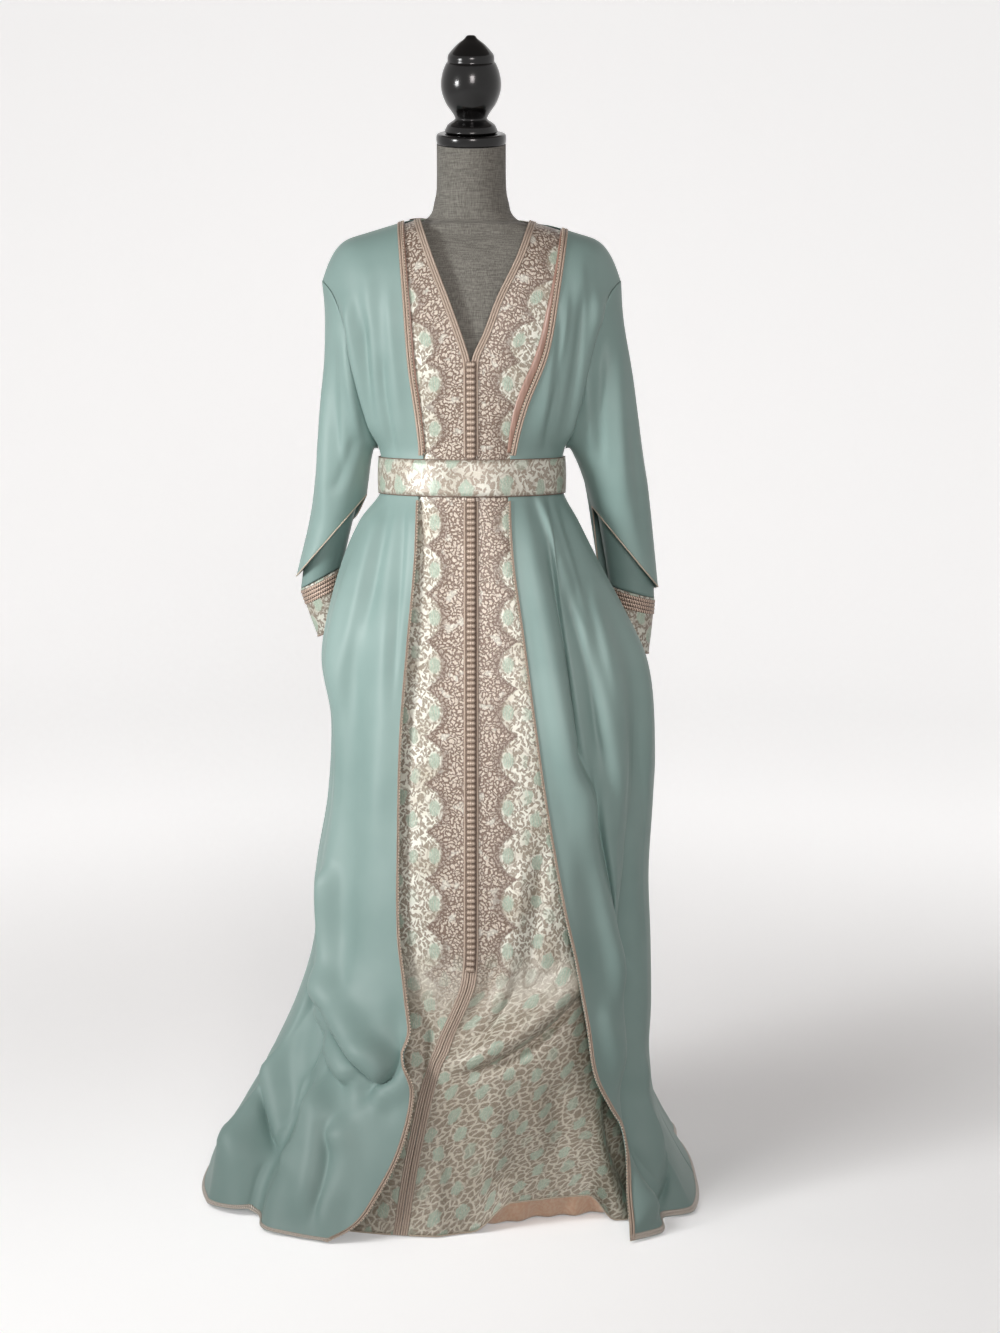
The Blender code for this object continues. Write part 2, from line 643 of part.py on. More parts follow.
def strip_on(grid, side, width, out):
    """A strip along a panel's front edge, on the panel's own first column, moved out."""
    edge = -1 if side < 0 else 0
    inward = -1 if side < 0 else 1
    strip = []
    for i, row in enumerate(grid):
        here = row[edge]
        beside = row[edge + inward]
        above = grid[max(i - 1, 0)][edge]
        below = grid[min(i + 1, len(grid) - 1)][edge]
        normal = (below - above).cross((beside - here) * inward).normalized()
        near = here + normal * out
        far = here.lerp(beside, width / (beside - here).length) + normal * out
        strip.append([far, near] if side < 0 else [near, far])
    return strip


def hem_strip(grid, width, out, lift):
    """A strip along a panel's hem, on the panel's own facets, moved out."""
    top = []
    low = []
    last = grid[-1]
    above = grid[-2]
    for i, here in enumerate(last):
        up = above[i] - here
        before = last[max(i - 1, 0)]
        after = last[min(i + 1, len(last) - 1)]
        normal = (-up).cross(after - before).normalized()
        low.append(here + up * (lift / up.length) + normal * out)
        top.append(here + up * ((lift + width) / up.length) + normal * out)
    return [top, low]


def make_edge_trims(panels, collection):
    """Braids on the panels they lie on, split where the belt passes over them."""
    out = TRIM_GAP + TRIM_WALL
    pieces = (
        ("over_braid", "over_front_", BRAID_WIDTH, "rose_gold_braid"),
        ("under_sfifa", "under_front_", SFIFA_WIDTH, "rose_gold_braid"),
    )
    for name, panel, width, finish in pieces:
        for side, word in ((-1, "left"), (1, "right")):
            strip = strip_on(panels[panel + word], side, width, out)
            above = strip[: WAIST_ROW + 1]
            above[-1] = [low.lerp(high, UNDER_BELT_SHARE) for low, high in zip(above[-1], above[-2])]
            below = strip[WAIST_ROW + 1:]
            below[0] = [high.lerp(low, UNDER_BELT_SHARE) for high, low in zip(below[0], below[1])]
            lift = Vector((0.0, 0.0, TRIM_LIFT))
            below[-1] = [point + lift for point in below[-1]]
            cloth_wall(f"{name}_bodice_{word}", above, TRIM_WALL, finish, collection)
            cloth_wall(f"{name}_skirt_{word}", below, TRIM_WALL, finish, collection)
    for word, gap in HEM_TRIM_GAPS.items():
        grid = panels["over_" + word]
        clear_of_edge = {"front_left": slice(0, -1), "front_right": slice(1, None), "back": slice(0, None)}
        cut = [row[clear_of_edge[word]] for row in grid]
        strip = hem_strip(cut, BRAID_WIDTH, TRIM_WALL + gap, TRIM_LIFT)
        cloth_wall(f"over_hem_braid_{word}", strip, TRIM_WALL, "rose_gold_braid", collection)


def walk_down(column, distance):
    """The point a distance down a column of points."""
    for here, below in zip(column, column[1:]):
        step = (below - here).length
        if distance <= step:
            return here.lerp(below, distance / step)
        distance -= step
    return column[-1]


def make_neck_braid(panel, collection):
    """The braid round the back of the over-robe's neck, on the back panel's first rows."""
    out = NECK_BRAID_GAP + TRIM_WALL
    top = []
    middle = []
    low = []
    for i, here in enumerate(panel[0]):
        if abs(here.x) > NECK_BRAID_REACH:
            continue
        beside = panel[0][i + 1] - panel[0][i - 1]
        column = [row[i] for row in panel]
        normal = (column[1] - here).cross(beside).normalized()
        top.append(walk_down(column, TRIM_MARGIN) + normal * out)
        middle.append(walk_down(column, 0.5 * BRAID_WIDTH) + normal * out)
        low.append(walk_down(column, BRAID_WIDTH) + normal * out)
    cloth_wall("over_neck_braid", [top, middle, low], TRIM_WALL, "rose_gold_braid", collection)


def make_facings(panels, collection):
    """The satin facing that shows beside each front braid, from the shoulder to the belt."""
    for side, word, widths in ((-1, "left", FACING_LEFT), (1, "right", FACING_RIGHT)):
        edge = -1 if side < 0 else 0
        inward = -1 if side < 0 else 1
        strip = []
        for row in panels["over_front_" + word][:WAIST_ROW]:
            here = row[edge]
            away = (here - row[edge + inward]).normalized()
            width = read_table(EDGE_COLUMNS, widths, here.z)["x"]
            near = here + away * SEAM
            far = here + away * (SEAM + width)
            strip.append([near, far] if side < 0 else [far, near])
        cloth_wall("over_facing_" + word, strip, FACING_WALL, "rose_satin", collection)


def make_lining(panels, collection):
    """The satin lining that shows below the tucked part of the under-dress hem."""
    grid = panels["under_front_right"]
    inward = Vector((0.0, WALL + 2.0 * TRIM_GAP, 0.0))
    top = []
    low = []
    for x in spread(LINING_LEFT_X, LINING_RIGHT_X, LINING_POINTS):
        c = next(i for i in range(len(grid[-1]) - 1) if grid[-1][i + 1].x >= x)
        share = (x - grid[-1][c].x) / (grid[-1][c + 1].x - grid[-1][c].x)
        here = grid[-1][c].lerp(grid[-1][c + 1], share)
        above = grid[-2][c].lerp(grid[-2][c + 1], share)
        top.append(here + (above - here).normalized() * LINING_OVERLAP + inward)
        low.append(Vector((here.x, here.y + LINING_BACK, HEM_CLEAR)))
    cloth_wall("under_lining_front", [top, low], TRIM_WALL, "peach_satin", collection)


def make_knots(panels, collection):
    """Rows of knot buttons on the parting, each a bumpy cord, above and below the belt."""
    path = []
    for left, right in zip(panels["under_front_left"], panels["under_front_right"]):
        path.append(left[-1].lerp(right[0], 0.5))
    stretches = (
        ("under_knots_bodice", CLOSURE_TOP_Z, WAIST_Z + KNOTS_FROM_BELT),
        ("under_knots_skirt", BELT_LOW_Z - KNOTS_FROM_BELT, CLOSURE_LOW_Z),
    )
    out = TRIM_GAP * 2.0 + TRIM_WALL + KNOT_RADIUS
    for name, top_z, low_z in stretches:
        count = int((top_z - low_z) / KNOT_PITCH) * 2 + 1
        grid = []
        for i, z in enumerate(spread(top_z, low_z, count)):
            above = next(p for p, q in zip(path, path[1:]) if q.z <= z)
            below = path[path.index(above) + 1]
            centre = above.lerp(below, (above.z - z) / (above.z - below.z))
            down = (below - above).normalized()
            across = Vector((1.0, 0.0, 0.0))
            front = down.cross(across).normalized()
            across = front.cross(down).normalized()
            radius = KNOT_RADIUS if i % 2 else KNOT_NECK_RADIUS
            middle = centre + front * out
            grid.append([middle + across * radius, middle + front * radius,
                         middle - across * radius, middle - front * radius])
        wide = len(grid[0])
        points = [point for ring in grid for point in ring]
        faces = []
        for r in range(len(grid) - 1):
            for c in range(wide):
                a = r * wide + c
                b = r * wide + (c + 1) % wide
                faces.append((a, b, b + wide, a + wide))
        faces.append(tuple(range(wide))[::-1])
        faces.append(tuple(range((len(grid) - 1) * wide, len(grid) * wide)))
        new_object(name, points, faces, "rose_gold_braid", collection)


def make_dress_form(collection):
    rings = [list(row) for row in FORM]
    for half_width, front, back in FORM_SHOULDER:
        rings.append([shoulder_height(half_width) - FORM_TOUCH, half_width, front, back, 0.0])
    rings += [list(row) for row in NECK]
    grid = []
    for row in rings:
        values = dict(zip(FORM_COLUMNS, row))
        ring = []
        for turn in spread(0.0, 360.0 - 360.0 / FORM_SIDES, FORM_SIDES):
            angle = math.radians(turn)
            depth = values["front"] if math.cos(angle) > 0 else values["back"]
            x = values["half_width"] * math.sin(angle)
            y = -depth * math.cos(angle) - values["shift"]
            tilt = NECK_TILT * smooth((values["z"] - NECK[0][0]) / (NECK[-1][0] - NECK[0][0]))
            ring.append(Vector((x, y, values["z"] + y * math.tan(tilt))))
        grid.append(ring)
    wide = len(grid[0])
    points = [point for ring in grid for point in ring]
    faces = []
    for r in range(len(grid) - 1):
        for c in range(wide):
            a = r * wide + c
            b = r * wide + (c + 1) % wide
            faces.append((a, b, b + wide, a + wide))
    faces.append(tuple(range(wide))[::-1])
    faces.append(tuple(range((len(grid) - 1) * wide, len(grid) * wide)))
    new_object("form_torso", points, faces, "grey_linen", collection)


def turned(name, profile, steps, finish, collection):
    """A turned solid about its own Z axis."""
    mesh = bpy.data.meshes.new(name)
    points = [(radius, 0.0, height) for radius, height in profile]
    mesh.from_pydata(points, [(i, i + 1) for i in range(len(points) - 1)], [])
    mesh.materials.append(new_finish(finish))
    piece = bpy.data.objects.new(name, mesh)
    collection.objects.link(piece)
    screw = piece.modifiers.new("turn", "SCREW")
    screw.steps = steps
    screw.render_steps = steps
    screw.use_merge_vertices = True
    screw.merge_threshold = 0.00001
    screw.use_smooth_shade = True
    return piece


def make_hardware(collection):
    """Neck cap and finial, leaning with the neck, and the pole and base that carry the form."""
    lean = Matrix.Rotation(NECK_TILT, 4, "X")
    neck_top = Vector((0.0, NECK_TOP_Y, NECK[-1][0] + NECK_TOP_Y * math.tan(NECK_TILT)))
    up = lean @ Vector((0.0, 0.0, 1.0))
    cap = turned("neck_cap", (
        (0.0, CAP_THICK), (CAP_RADIUS - CAP_EDGE, CAP_THICK), (CAP_RADIUS, CAP_THICK - CAP_EDGE),
        (CAP_RADIUS, CAP_EDGE), (CAP_RADIUS - CAP_EDGE, 0.0), (0.0, 0.0)),
        DISC_STEPS, "black_lacquer", collection)
    cap.matrix_world = Matrix.Translation(neck_top + up * STAND_GAP) @ lean
    finial = turned("finial", FINIAL, POST_STEPS, "black_lacquer", collection)
    finial.matrix_world = Matrix.Translation(neck_top + up * (CAP_THICK + 2.0 * STAND_GAP)) @ lean
    low = BASE_HEIGHT + STAND_GAP
    high = FORM[0][0] - STAND_GAP
    pole = turned("stand_pole", (
        (0.0, high), (POLE_RADIUS, high), (POLE_RADIUS, low), (0.0, low)),
        POST_STEPS, "painted_steel", collection)
    pole.location = (0.0, STAND_Y, 0.0)
    base = turned("stand_base", (
        (0.0, BASE_HEIGHT), (BASE_RADIUS - BASE_EDGE, BASE_HEIGHT), (BASE_RADIUS, BASE_RIM),
        (BASE_RADIUS, 0.0), (0.0, 0.0)), DISC_STEPS, "painted_steel", collection)
    base.location = (0.0, STAND_Y, 0.0)


def clear_scene():
    for old in list(bpy.data.objects):
        bpy.data.objects.remove(old, do_unlink=True)


def main():
    clear_scene()
    collection = bpy.data.collections.new("takchita")
    bpy.context.scene.collection.children.link(collection)
    panels = make_over_robe(collection)
    panels.update(make_under_dress(collection))
    make_sleeves(collection)
    make_belt(collection)
    make_edge_trims(panels, collection)
    make_neck_braid(panels["over_back"], collection)
    make_facings(panels, collection)
    make_lining(panels, collection)
    make_knots(panels, collection)
    make_dress_form(collection)
    make_hardware(collection)


main()
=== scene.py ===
import math

import bpy
import numpy as np
from mathutils import Matrix, Vector


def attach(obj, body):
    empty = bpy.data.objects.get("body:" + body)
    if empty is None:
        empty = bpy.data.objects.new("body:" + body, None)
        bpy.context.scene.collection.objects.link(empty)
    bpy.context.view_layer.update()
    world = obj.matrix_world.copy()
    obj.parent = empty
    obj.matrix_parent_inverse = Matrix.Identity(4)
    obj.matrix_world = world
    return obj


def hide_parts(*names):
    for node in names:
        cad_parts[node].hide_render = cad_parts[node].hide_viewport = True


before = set(bpy.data.objects)
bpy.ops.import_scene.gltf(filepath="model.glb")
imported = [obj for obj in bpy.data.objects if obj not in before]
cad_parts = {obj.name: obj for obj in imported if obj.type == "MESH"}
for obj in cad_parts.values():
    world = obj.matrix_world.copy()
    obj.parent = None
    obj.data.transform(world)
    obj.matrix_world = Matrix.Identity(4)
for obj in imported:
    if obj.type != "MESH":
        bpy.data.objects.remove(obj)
bpy.context.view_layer.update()

# Cloth and trim
TRIM_WALL = 0.0012
BELT_WALL = 0.0030
SEAM = 0.0004
SIDE_SEAM = 0.0011
LAYER = 0.0032
TRIM_GAP = 0.0007
BELT_OUT = 0.0070
BRAID_WIDTH = 0.009
SFIFA_WIDTH = 0.012
HEM_CLEAR = 0.002
TRIM_MARGIN = 0.001

# Shoulder seam: height at the neck point, slope, and the drop past the form's shoulder
NECK_POINT_X = 0.076
NECK_POINT_Z = 1.4885
SHOULDER_SLOPE = 0.30
DROP_START_X = 0.170
SHOULDER_REACH = 0.219
SHOULDER_DROP = 0.048
WAIST_Z = 1.137
BELT_LOW_Z = 1.081
WAIST_ROW = 11
UNDERARM_ROW = 10

# Bodice, a row for each section: share of the drop to the waist, depth of the front, of the back and of
# the armhole's edge from the shoulder plane, and how far the side reaches from the centre
BODICE_COLUMNS = ("fall", "front", "back", "arm", "reach")
BODICE = (
    (0.000, 0.0003, 0.0003, 0.0003, 0.219),
    (0.006, 0.030, 0.030, 0.020, 0.218),
    (0.026, 0.056, 0.055, 0.033, 0.212),
    (0.068, 0.078, 0.074, 0.043, 0.203),
    (0.140, 0.095, 0.088, 0.050, 0.194),
    (0.240, 0.108, 0.097, 0.054, 0.184),
    (0.380, 0.116, 0.101, 0.055, 0.172),
    (0.530, 0.119, 0.101, 0.052, 0.162),
    (0.690, 0.117, 0.098, 0.044, 0.153),
    (0.840, 0.112, 0.094, 0.030, 0.145),
    (0.955, 0.107, 0.091, 0.0003, 0.137),
    (1.000, 0.106, 0.090, 0.0003, 0.134),
)

# Skirt, a row for each height: half width left and right, depth of the front and back, and how square
# the plan is on each side, 2 being an ellipse
SKIRT_COLUMNS = ("z", "left", "right", "front", "back", "square_left", "square_right")
SKIRT = (
    (1.081, 0.135, 0.135, 0.112, 0.094, 2.0, 2.0),
    (1.040, 0.168, 0.160, 0.122, 0.108, 2.0, 2.0),
    (0.980, 0.196, 0.192, 0.132, 0.128, 2.0, 2.1),
    (0.900, 0.219, 0.236, 0.145, 0.150, 2.1, 2.2),
    (0.830, 0.229, 0.268, 0.155, 0.166, 2.1, 2.3),
    (0.740, 0.214, 0.279, 0.168, 0.182, 2.2, 2.3),
    (0.620, 0.219, 0.275, 0.183, 0.200, 2.2, 2.3),
    (0.500, 0.239, 0.269, 0.200, 0.218, 2.2, 2.3),
    (0.400, 0.241, 0.271, 0.213, 0.236, 2.2, 2.3),
    (0.300, 0.270, 0.272, 0.228, 0.256, 2.2, 2.4),
    (0.200, 0.316, 0.269, 0.245, 0.280, 2.2, 2.5),
    (0.120, 0.356, 0.286, 0.262, 0.304, 2.2, 2.7),
    (0.055, 0.400, 0.317, 0.280, 0.325, 2.2, 2.9),
    (0.014, 0.415, 0.341, 0.2935, 0.337, 2.2, 3.0),
    (HEM_CLEAR, 0.420, 0.348, 0.298, 0.340, 2.2, 3.0),
)

# Main folds of the skirt: turn at the top and at the hem, half width in degrees, rise (a trough is
# negative), and the heights where it starts, is full, begins to fade and ends
FOLD_COLUMNS = ("top_turn", "hem_turn", "spread", "rise", "start", "full", "fade", "end")
FOLDS = (
    (-104, -104, 26, -0.070, 1.075, 0.950, 0.840, 0.700),
    (105, 105, 29, -0.084, 1.075, 0.950, 0.810, 0.660),
    (-62, -58, 14, 0.010, 1.060, 0.800, 0.300, 0.050),
    (-78, -56, 15, -0.045, 0.420, 0.180, -1.0, -2.0),
    (38, 42, 12, -0.010, 1.060, 0.700, 0.400, 0.200),
    (60, 64, 12, -0.016, 1.060, 0.700, 0.300, 0.100),
    (66, 58, 13, -0.034, 0.300, 0.080, -1.0, -2.0),
    (128, 126, 16, 0.030, 1.040, 0.300, -1.0, -2.0),
    (154, 150, 13, -0.026, 1.040, 0.300, -1.0, -2.0),
    (180, 180, 15, 0.034, 1.040, 0.300, -1.0, -2.0),
    (208, 212, 13, -0.026, 1.040, 0.300, -1.0, -2.0),
    (234, 238, 16, 0.032, 1.040, 0.300, -1.0, -2.0),
)
UNDER_RIDGE_SHARE = 0.35
BACK_START = 0.01

# How far the under-dress lies inside the drape, and its tucked part at the right of the front hem
UNDER_COLUMNS = ("z", "inset")
UNDER = (
    (-1.0, 0.050), (0.0, 0.050), (0.12, 0.036), (0.30, 0.018), (0.60, 0.011), (0.90, 0.009), (1.03, 0.005),
    (1.081, 0.0),
)
TUCK_TURN = 24.0
TUCK_SPREAD = 30.0
TUCK_DEPTH = 0.052
TUCK_TOP_Z = 0.30
TUCK_HEM_Z = 0.040
TUCK_LIFT_Z = 0.150

# Distance of each front edge from the centre plane, by height
EDGE_COLUMNS = ("z", "x")
OVER_LEFT_EDGE = (
    (0.000, -0.212), (0.028, -0.166), (0.061, -0.140), (0.135, -0.101), (0.224, -0.082), (0.361, -0.094),
    (0.444, -0.104), (0.563, -0.105), (0.732, -0.101), (0.874, -0.090), (0.988, -0.080), (1.082, -0.076),
    (1.140, -0.069), (1.191, -0.073), (1.272, -0.084), (1.378, -0.092), (1.486, -0.101),
)
OVER_RIGHT_EDGE = (
    (0.000, 0.232), (0.062, 0.227), (0.112, 0.227), (0.148, 0.221), (0.177, 0.205), (0.229, 0.181),
    (0.300, 0.170), (0.391, 0.154), (0.484, 0.134), (0.642, 0.107), (0.741, 0.093), (0.874, 0.075),
    (0.988, 0.059), (1.079, 0.054), (1.140, 0.057), (1.210, 0.074), (1.290, 0.105), (1.378, 0.121),
    (1.472, 0.135),
)
PARTING = (
    (0.000, -0.115), (0.120, -0.092), (0.250, -0.058), (0.360, -0.008), (0.400, -0.001), (0.450, 0.000),
    (1.180, 0.000), (1.250, 0.000), (1.265, 0.000),
)
NECKLINE_LEFT = ((1.285, -0.002), (1.360, -0.028), (1.430, -0.055), (1.491, -0.076))
NECKLINE_RIGHT = ((1.285, 0.002), (1.320, 0.018), (1.370, 0.037), (1.430, 0.066), (1.491, 0.0875))
FACING_LEFT = ((1.140, 0.003), (1.300, 0.006), (1.400, 0.004), (1.500, 0.003))
FACING_RIGHT = ((1.140, 0.006), (1.230, 0.014), (1.330, 0.010), (1.400, 0.005), (1.500, 0.003))
BACK_EASE = 0.0036
BACK_EASE_ROWS = 8.0
BACK_NECK_ROW_OVER = 3.3
BACK_NECK_ROW_UNDER = 2.7
NECK_BRAID_REACH = 0.092

# Sleeves, a ring for each row: outer fold, inner fold, middle plane and half depth
SLEEVE_COLUMNS = ("outer_x", "outer_z", "inner_x", "inner_z", "middle", "depth")
OVER_SLEEVES = {
    -1: (
        (0.2205, 1.345, 0.1475, 1.147, 0.004, 0.054),
        (0.2260, 1.250, 0.1510, 1.137, 0.012, 0.054),
        (0.2350, 1.150, 0.1540, 1.122, 0.020, 0.053),
        (0.2450, 1.055, 0.1570, 1.102, 0.028, 0.051),
        (0.2700, 0.951, 0.1610, 1.076, 0.034, 0.048),
    ),
    1: (
        (0.2280, 1.345, 0.1480, 1.147, 0.004, 0.054),
        (0.2460, 1.250, 0.1550, 1.135, 0.012, 0.054),
        (0.2600, 1.150, 0.1630, 1.117, 0.020, 0.053),
        (0.2720, 1.055, 0.1720, 1.092, 0.028, 0.051),
        (0.2850, 0.935, 0.1830, 1.058, 0.034, 0.048),
    ),
}
UNDER_SLEEVES = {
    -1: (
        (0.2150, 1.340, 0.1500, 1.158, 0.004, 0.044),
        (0.2200, 1.250, 0.1580, 1.150, 0.012, 0.042),
        (0.2290, 1.150, 0.1640, 1.130, 0.020, 0.040),
        (0.2390, 1.055, 0.1710, 1.085, 0.029, 0.037),
        (0.2570, 0.975, 0.1880, 1.015, 0.038, 0.034),
        (0.2640, 0.932, 0.2000, 0.966, 0.044, 0.030),
    ),
    1: (
        (0.2220, 1.340, 0.1500, 1.158, 0.004, 0.044),
        (0.2390, 1.250, 0.1620, 1.150, 0.012, 0.042),
        (0.2520, 1.150, 0.1720, 1.130, 0.020, 0.040),
        (0.2640, 1.055, 0.1840, 1.085, 0.029, 0.037),
        (0.2760, 0.975, 0.2000, 1.000, 0.038, 0.034),
        (0.2800, 0.917, 0.2110, 0.936, 0.044, 0.030),
    ),
}
CUFFS = {
    -1: ((0.2643, 0.9308, 0.2002, 0.9645, 0.0444, 0.0302), (0.252, 0.893, 0.189, 0.926, 0.046, 0.029),
         (0.2390, 0.857, 0.1780, 0.888, 0.046, 0.028)),
    1: ((0.2802, 0.9164, 0.2110, 0.9354, 0.0444, 0.0302), (0.277, 0.872, 0.206, 0.890, 0.046, 0.029),
        (0.2720, 0.831, 0.2030, 0.847, 0.042, 0.027)),
}
UNDERARM_LIFT = 0.0045
INNER_SLEEVE_SHARE = 0.90

# Lining below the tucked hem
LINING_LEFT_X = 0.026
LINING_RIGHT_X = 0.200
LINING_BACK = 0.034
LINING_OVERLAP = 0.004

# Closure
KNOT_PITCH = 0.0084
CLOSURE_TOP_Z = 1.280
CLOSURE_LOW_Z = 0.392

# Dress form, a ring for each height: half width, depth of the front and back, and shift forward
FORM_COLUMNS = ("z", "half_width", "front", "back", "shift")
FORM = (
    (0.880, 0.070, 0.062, 0.062, 0.0), (0.884, 0.096, 0.080, 0.078, 0.0), (0.900, 0.112, 0.092, 0.086, 0.0),
    (0.960, 0.112, 0.100, 0.088, 0.0), (1.030, 0.112, 0.097, 0.082, 0.0), (1.080, 0.112, 0.090, 0.078, 0.0),
    (1.137, 0.114, 0.089, 0.078, 0.0), (1.200, 0.124, 0.097, 0.082, 0.0), (1.260, 0.136, 0.104, 0.086, 0.0),
    (1.310, 0.146, 0.106, 0.088, 0.0), (1.360, 0.158, 0.101, 0.088, 0.0), (1.400, 0.170, 0.093, 0.084, 0.0),
    (1.430, 0.176, 0.084, 0.070, 0.0), (1.4525, 0.1700, 0.072, 0.058, 0.0),
)
FORM_TOUCH = 0.0029
NECK = (
    (1.4840, 0.0740, 0.056, 0.040, 0.000), (1.4960, 0.0600, 0.055, 0.041, 0.002),
    (1.5120, 0.0555, 0.054, 0.046, 0.005), (1.5350, 0.0515, 0.051, 0.048, 0.009),
    (1.6000, 0.0510, 0.051, 0.048, 0.019),
)
NECK_TILT = math.radians(12.0)
CAP_RADIUS = 0.0515
CAP_THICK = 0.016
NECK_TOP_Y = -0.0205
FINIAL = (
    (0.0, 0.1400), (0.0060, 0.1390), (0.0100, 0.1345), (0.0200, 0.1270), (0.0305, 0.1160),
    (0.0340, 0.1100), (0.0345, 0.1020), (0.0365, 0.1000), (0.0415, 0.0880), (0.0443, 0.0725),
    (0.0430, 0.0580), (0.0370, 0.0425),
    (0.0290, 0.0310), (0.0245, 0.0235), (0.0245, 0.0195), (0.0330, 0.0135), (0.0365, 0.0090),
    (0.0365, 0.0), (0.0, 0.0),
)

# Stand
POLE_RADIUS = 0.014
STAND_Y = 0.040
BASE_RADIUS = 0.125
BASE_HEIGHT = 0.018


# Looks: row step of the finer grids and the sizes of the brocade's repeat, in metres
ROW_STEP = 0.008
OVAL_PITCH_X = 0.046
OVAL_PITCH_Z = 0.060
SCALLOP_PITCH = 0.070
SCALLOP_DEPTH = 0.026
BAND_WIDTH = 0.044
SHEET = 0.0012
PICOT_PITCH = 0.0046
CUFF_SFIFA = 0.023
ARM_STEPS = 41
SLEEVE_STEPS = 12
CUFF_STEPS = 8

# Finer creases: where each starts, bends and ends as seen from its side (metres across and up), its
# half width, its rise (a trough is negative) and how much steeper its right flank is than its left
CREASE_COLUMNS = ("view", "from_a", "from_z", "mid_a", "mid_z", "to_a", "to_z", "width", "rise", "lean")
OVER_LEFT_CREASES = (
    # bodice: soft folds that fall from the shoulder to the belt
    ("front", -0.150, 1.430, -0.142, 1.300, -0.118, 1.130, 0.012, 0.0045, 0.0),
    ("front", -0.175, 1.390, -0.165, 1.290, -0.135, 1.135, 0.010, 0.0040, 0.2),
    ("front", -0.118, 1.400, -0.113, 1.290, -0.096, 1.130, 0.010, 0.0035, 0.0),
    ("front", -0.186, 1.375, -0.168, 1.260, -0.138, 1.128, 0.0065, -0.0085, 0.3),
    ("front", -0.152, 1.360, -0.148, 1.255, -0.124, 1.128, 0.0060, -0.0050, 0.0),
    ("front", -0.128, 1.300, -0.124, 1.220, -0.106, 1.128, 0.0060, -0.0040, 0.0),
    # skirt: gathers below the belt, then the long soft roll
    ("front", -0.118, 1.085, -0.135, 1.000, -0.160, 0.860, 0.010, -0.0060, 0.0),
    ("front", -0.098, 1.085, -0.104, 0.960, -0.118, 0.740, 0.009, -0.0045, 0.3),
    ("front", -0.128, 1.080, -0.160, 0.960, -0.205, 0.760, 0.013, 0.0060, 0.0),
    ("front", -0.110, 0.980, -0.130, 0.760, -0.150, 0.500, 0.022, 0.0070, 0.0),
    ("front", -0.165, 0.900, -0.185, 0.700, -0.200, 0.480, 0.020, -0.0060, 0.0),
    # the deep folds of the flared hem
    ("front", -0.256, 0.380, -0.238, 0.265, -0.165, 0.165, 0.026, -0.0190, 0.0),
    ("front", -0.196, 0.440, -0.172, 0.320, -0.114, 0.235, 0.026, 0.0070, 0.0),
    ("front", -0.180, 0.300, -0.122, 0.262, -0.124, 0.200, 0.015, 0.0110, 0.4),
    ("front", -0.170, 0.255, -0.150, 0.225, -0.165, 0.180, 0.020, -0.0120, 0.0),
    ("front", -0.275, 0.330, -0.300, 0.200, -0.330, 0.060, 0.026, -0.0180, 0.0),
    ("front", -0.300, 0.270, -0.345, 0.150, -0.385, 0.030, 0.022, 0.0140, 0.0),
    ("front", -0.240, 0.230, -0.235, 0.130, -0.260, 0.010, 0.024, 0.0120, 0.0),
    ("front", -0.205, 0.150, -0.190, 0.085, -0.205, 0.004, 0.018, -0.0100, 0.0),
    ("front", -0.318, 0.260, -0.340, 0.080, -0.345, -0.100, 0.045, 0.0240, 0.0),
    ("front", -0.110, 0.360, -0.112, 0.260, -0.130, 0.150, 0.016, -0.0060, 0.0),
    # the side, below the sleeve
    ("left", -0.060, 1.060, -0.075, 0.860, -0.090, 0.600, 0.016, 0.0030, 0.0),
    ("left", 0.010, 1.000, 0.010, 0.780, 0.000, 0.450, 0.020, -0.0080, 0.0),
    ("left", -0.120, 0.620, -0.135, 0.380, -0.150, 0.120, 0.024, -0.0120, 0.0),
    ("left", -0.050, 0.560, -0.050, 0.320, -0.040, 0.050, 0.026, 0.0020, 0.0),
)
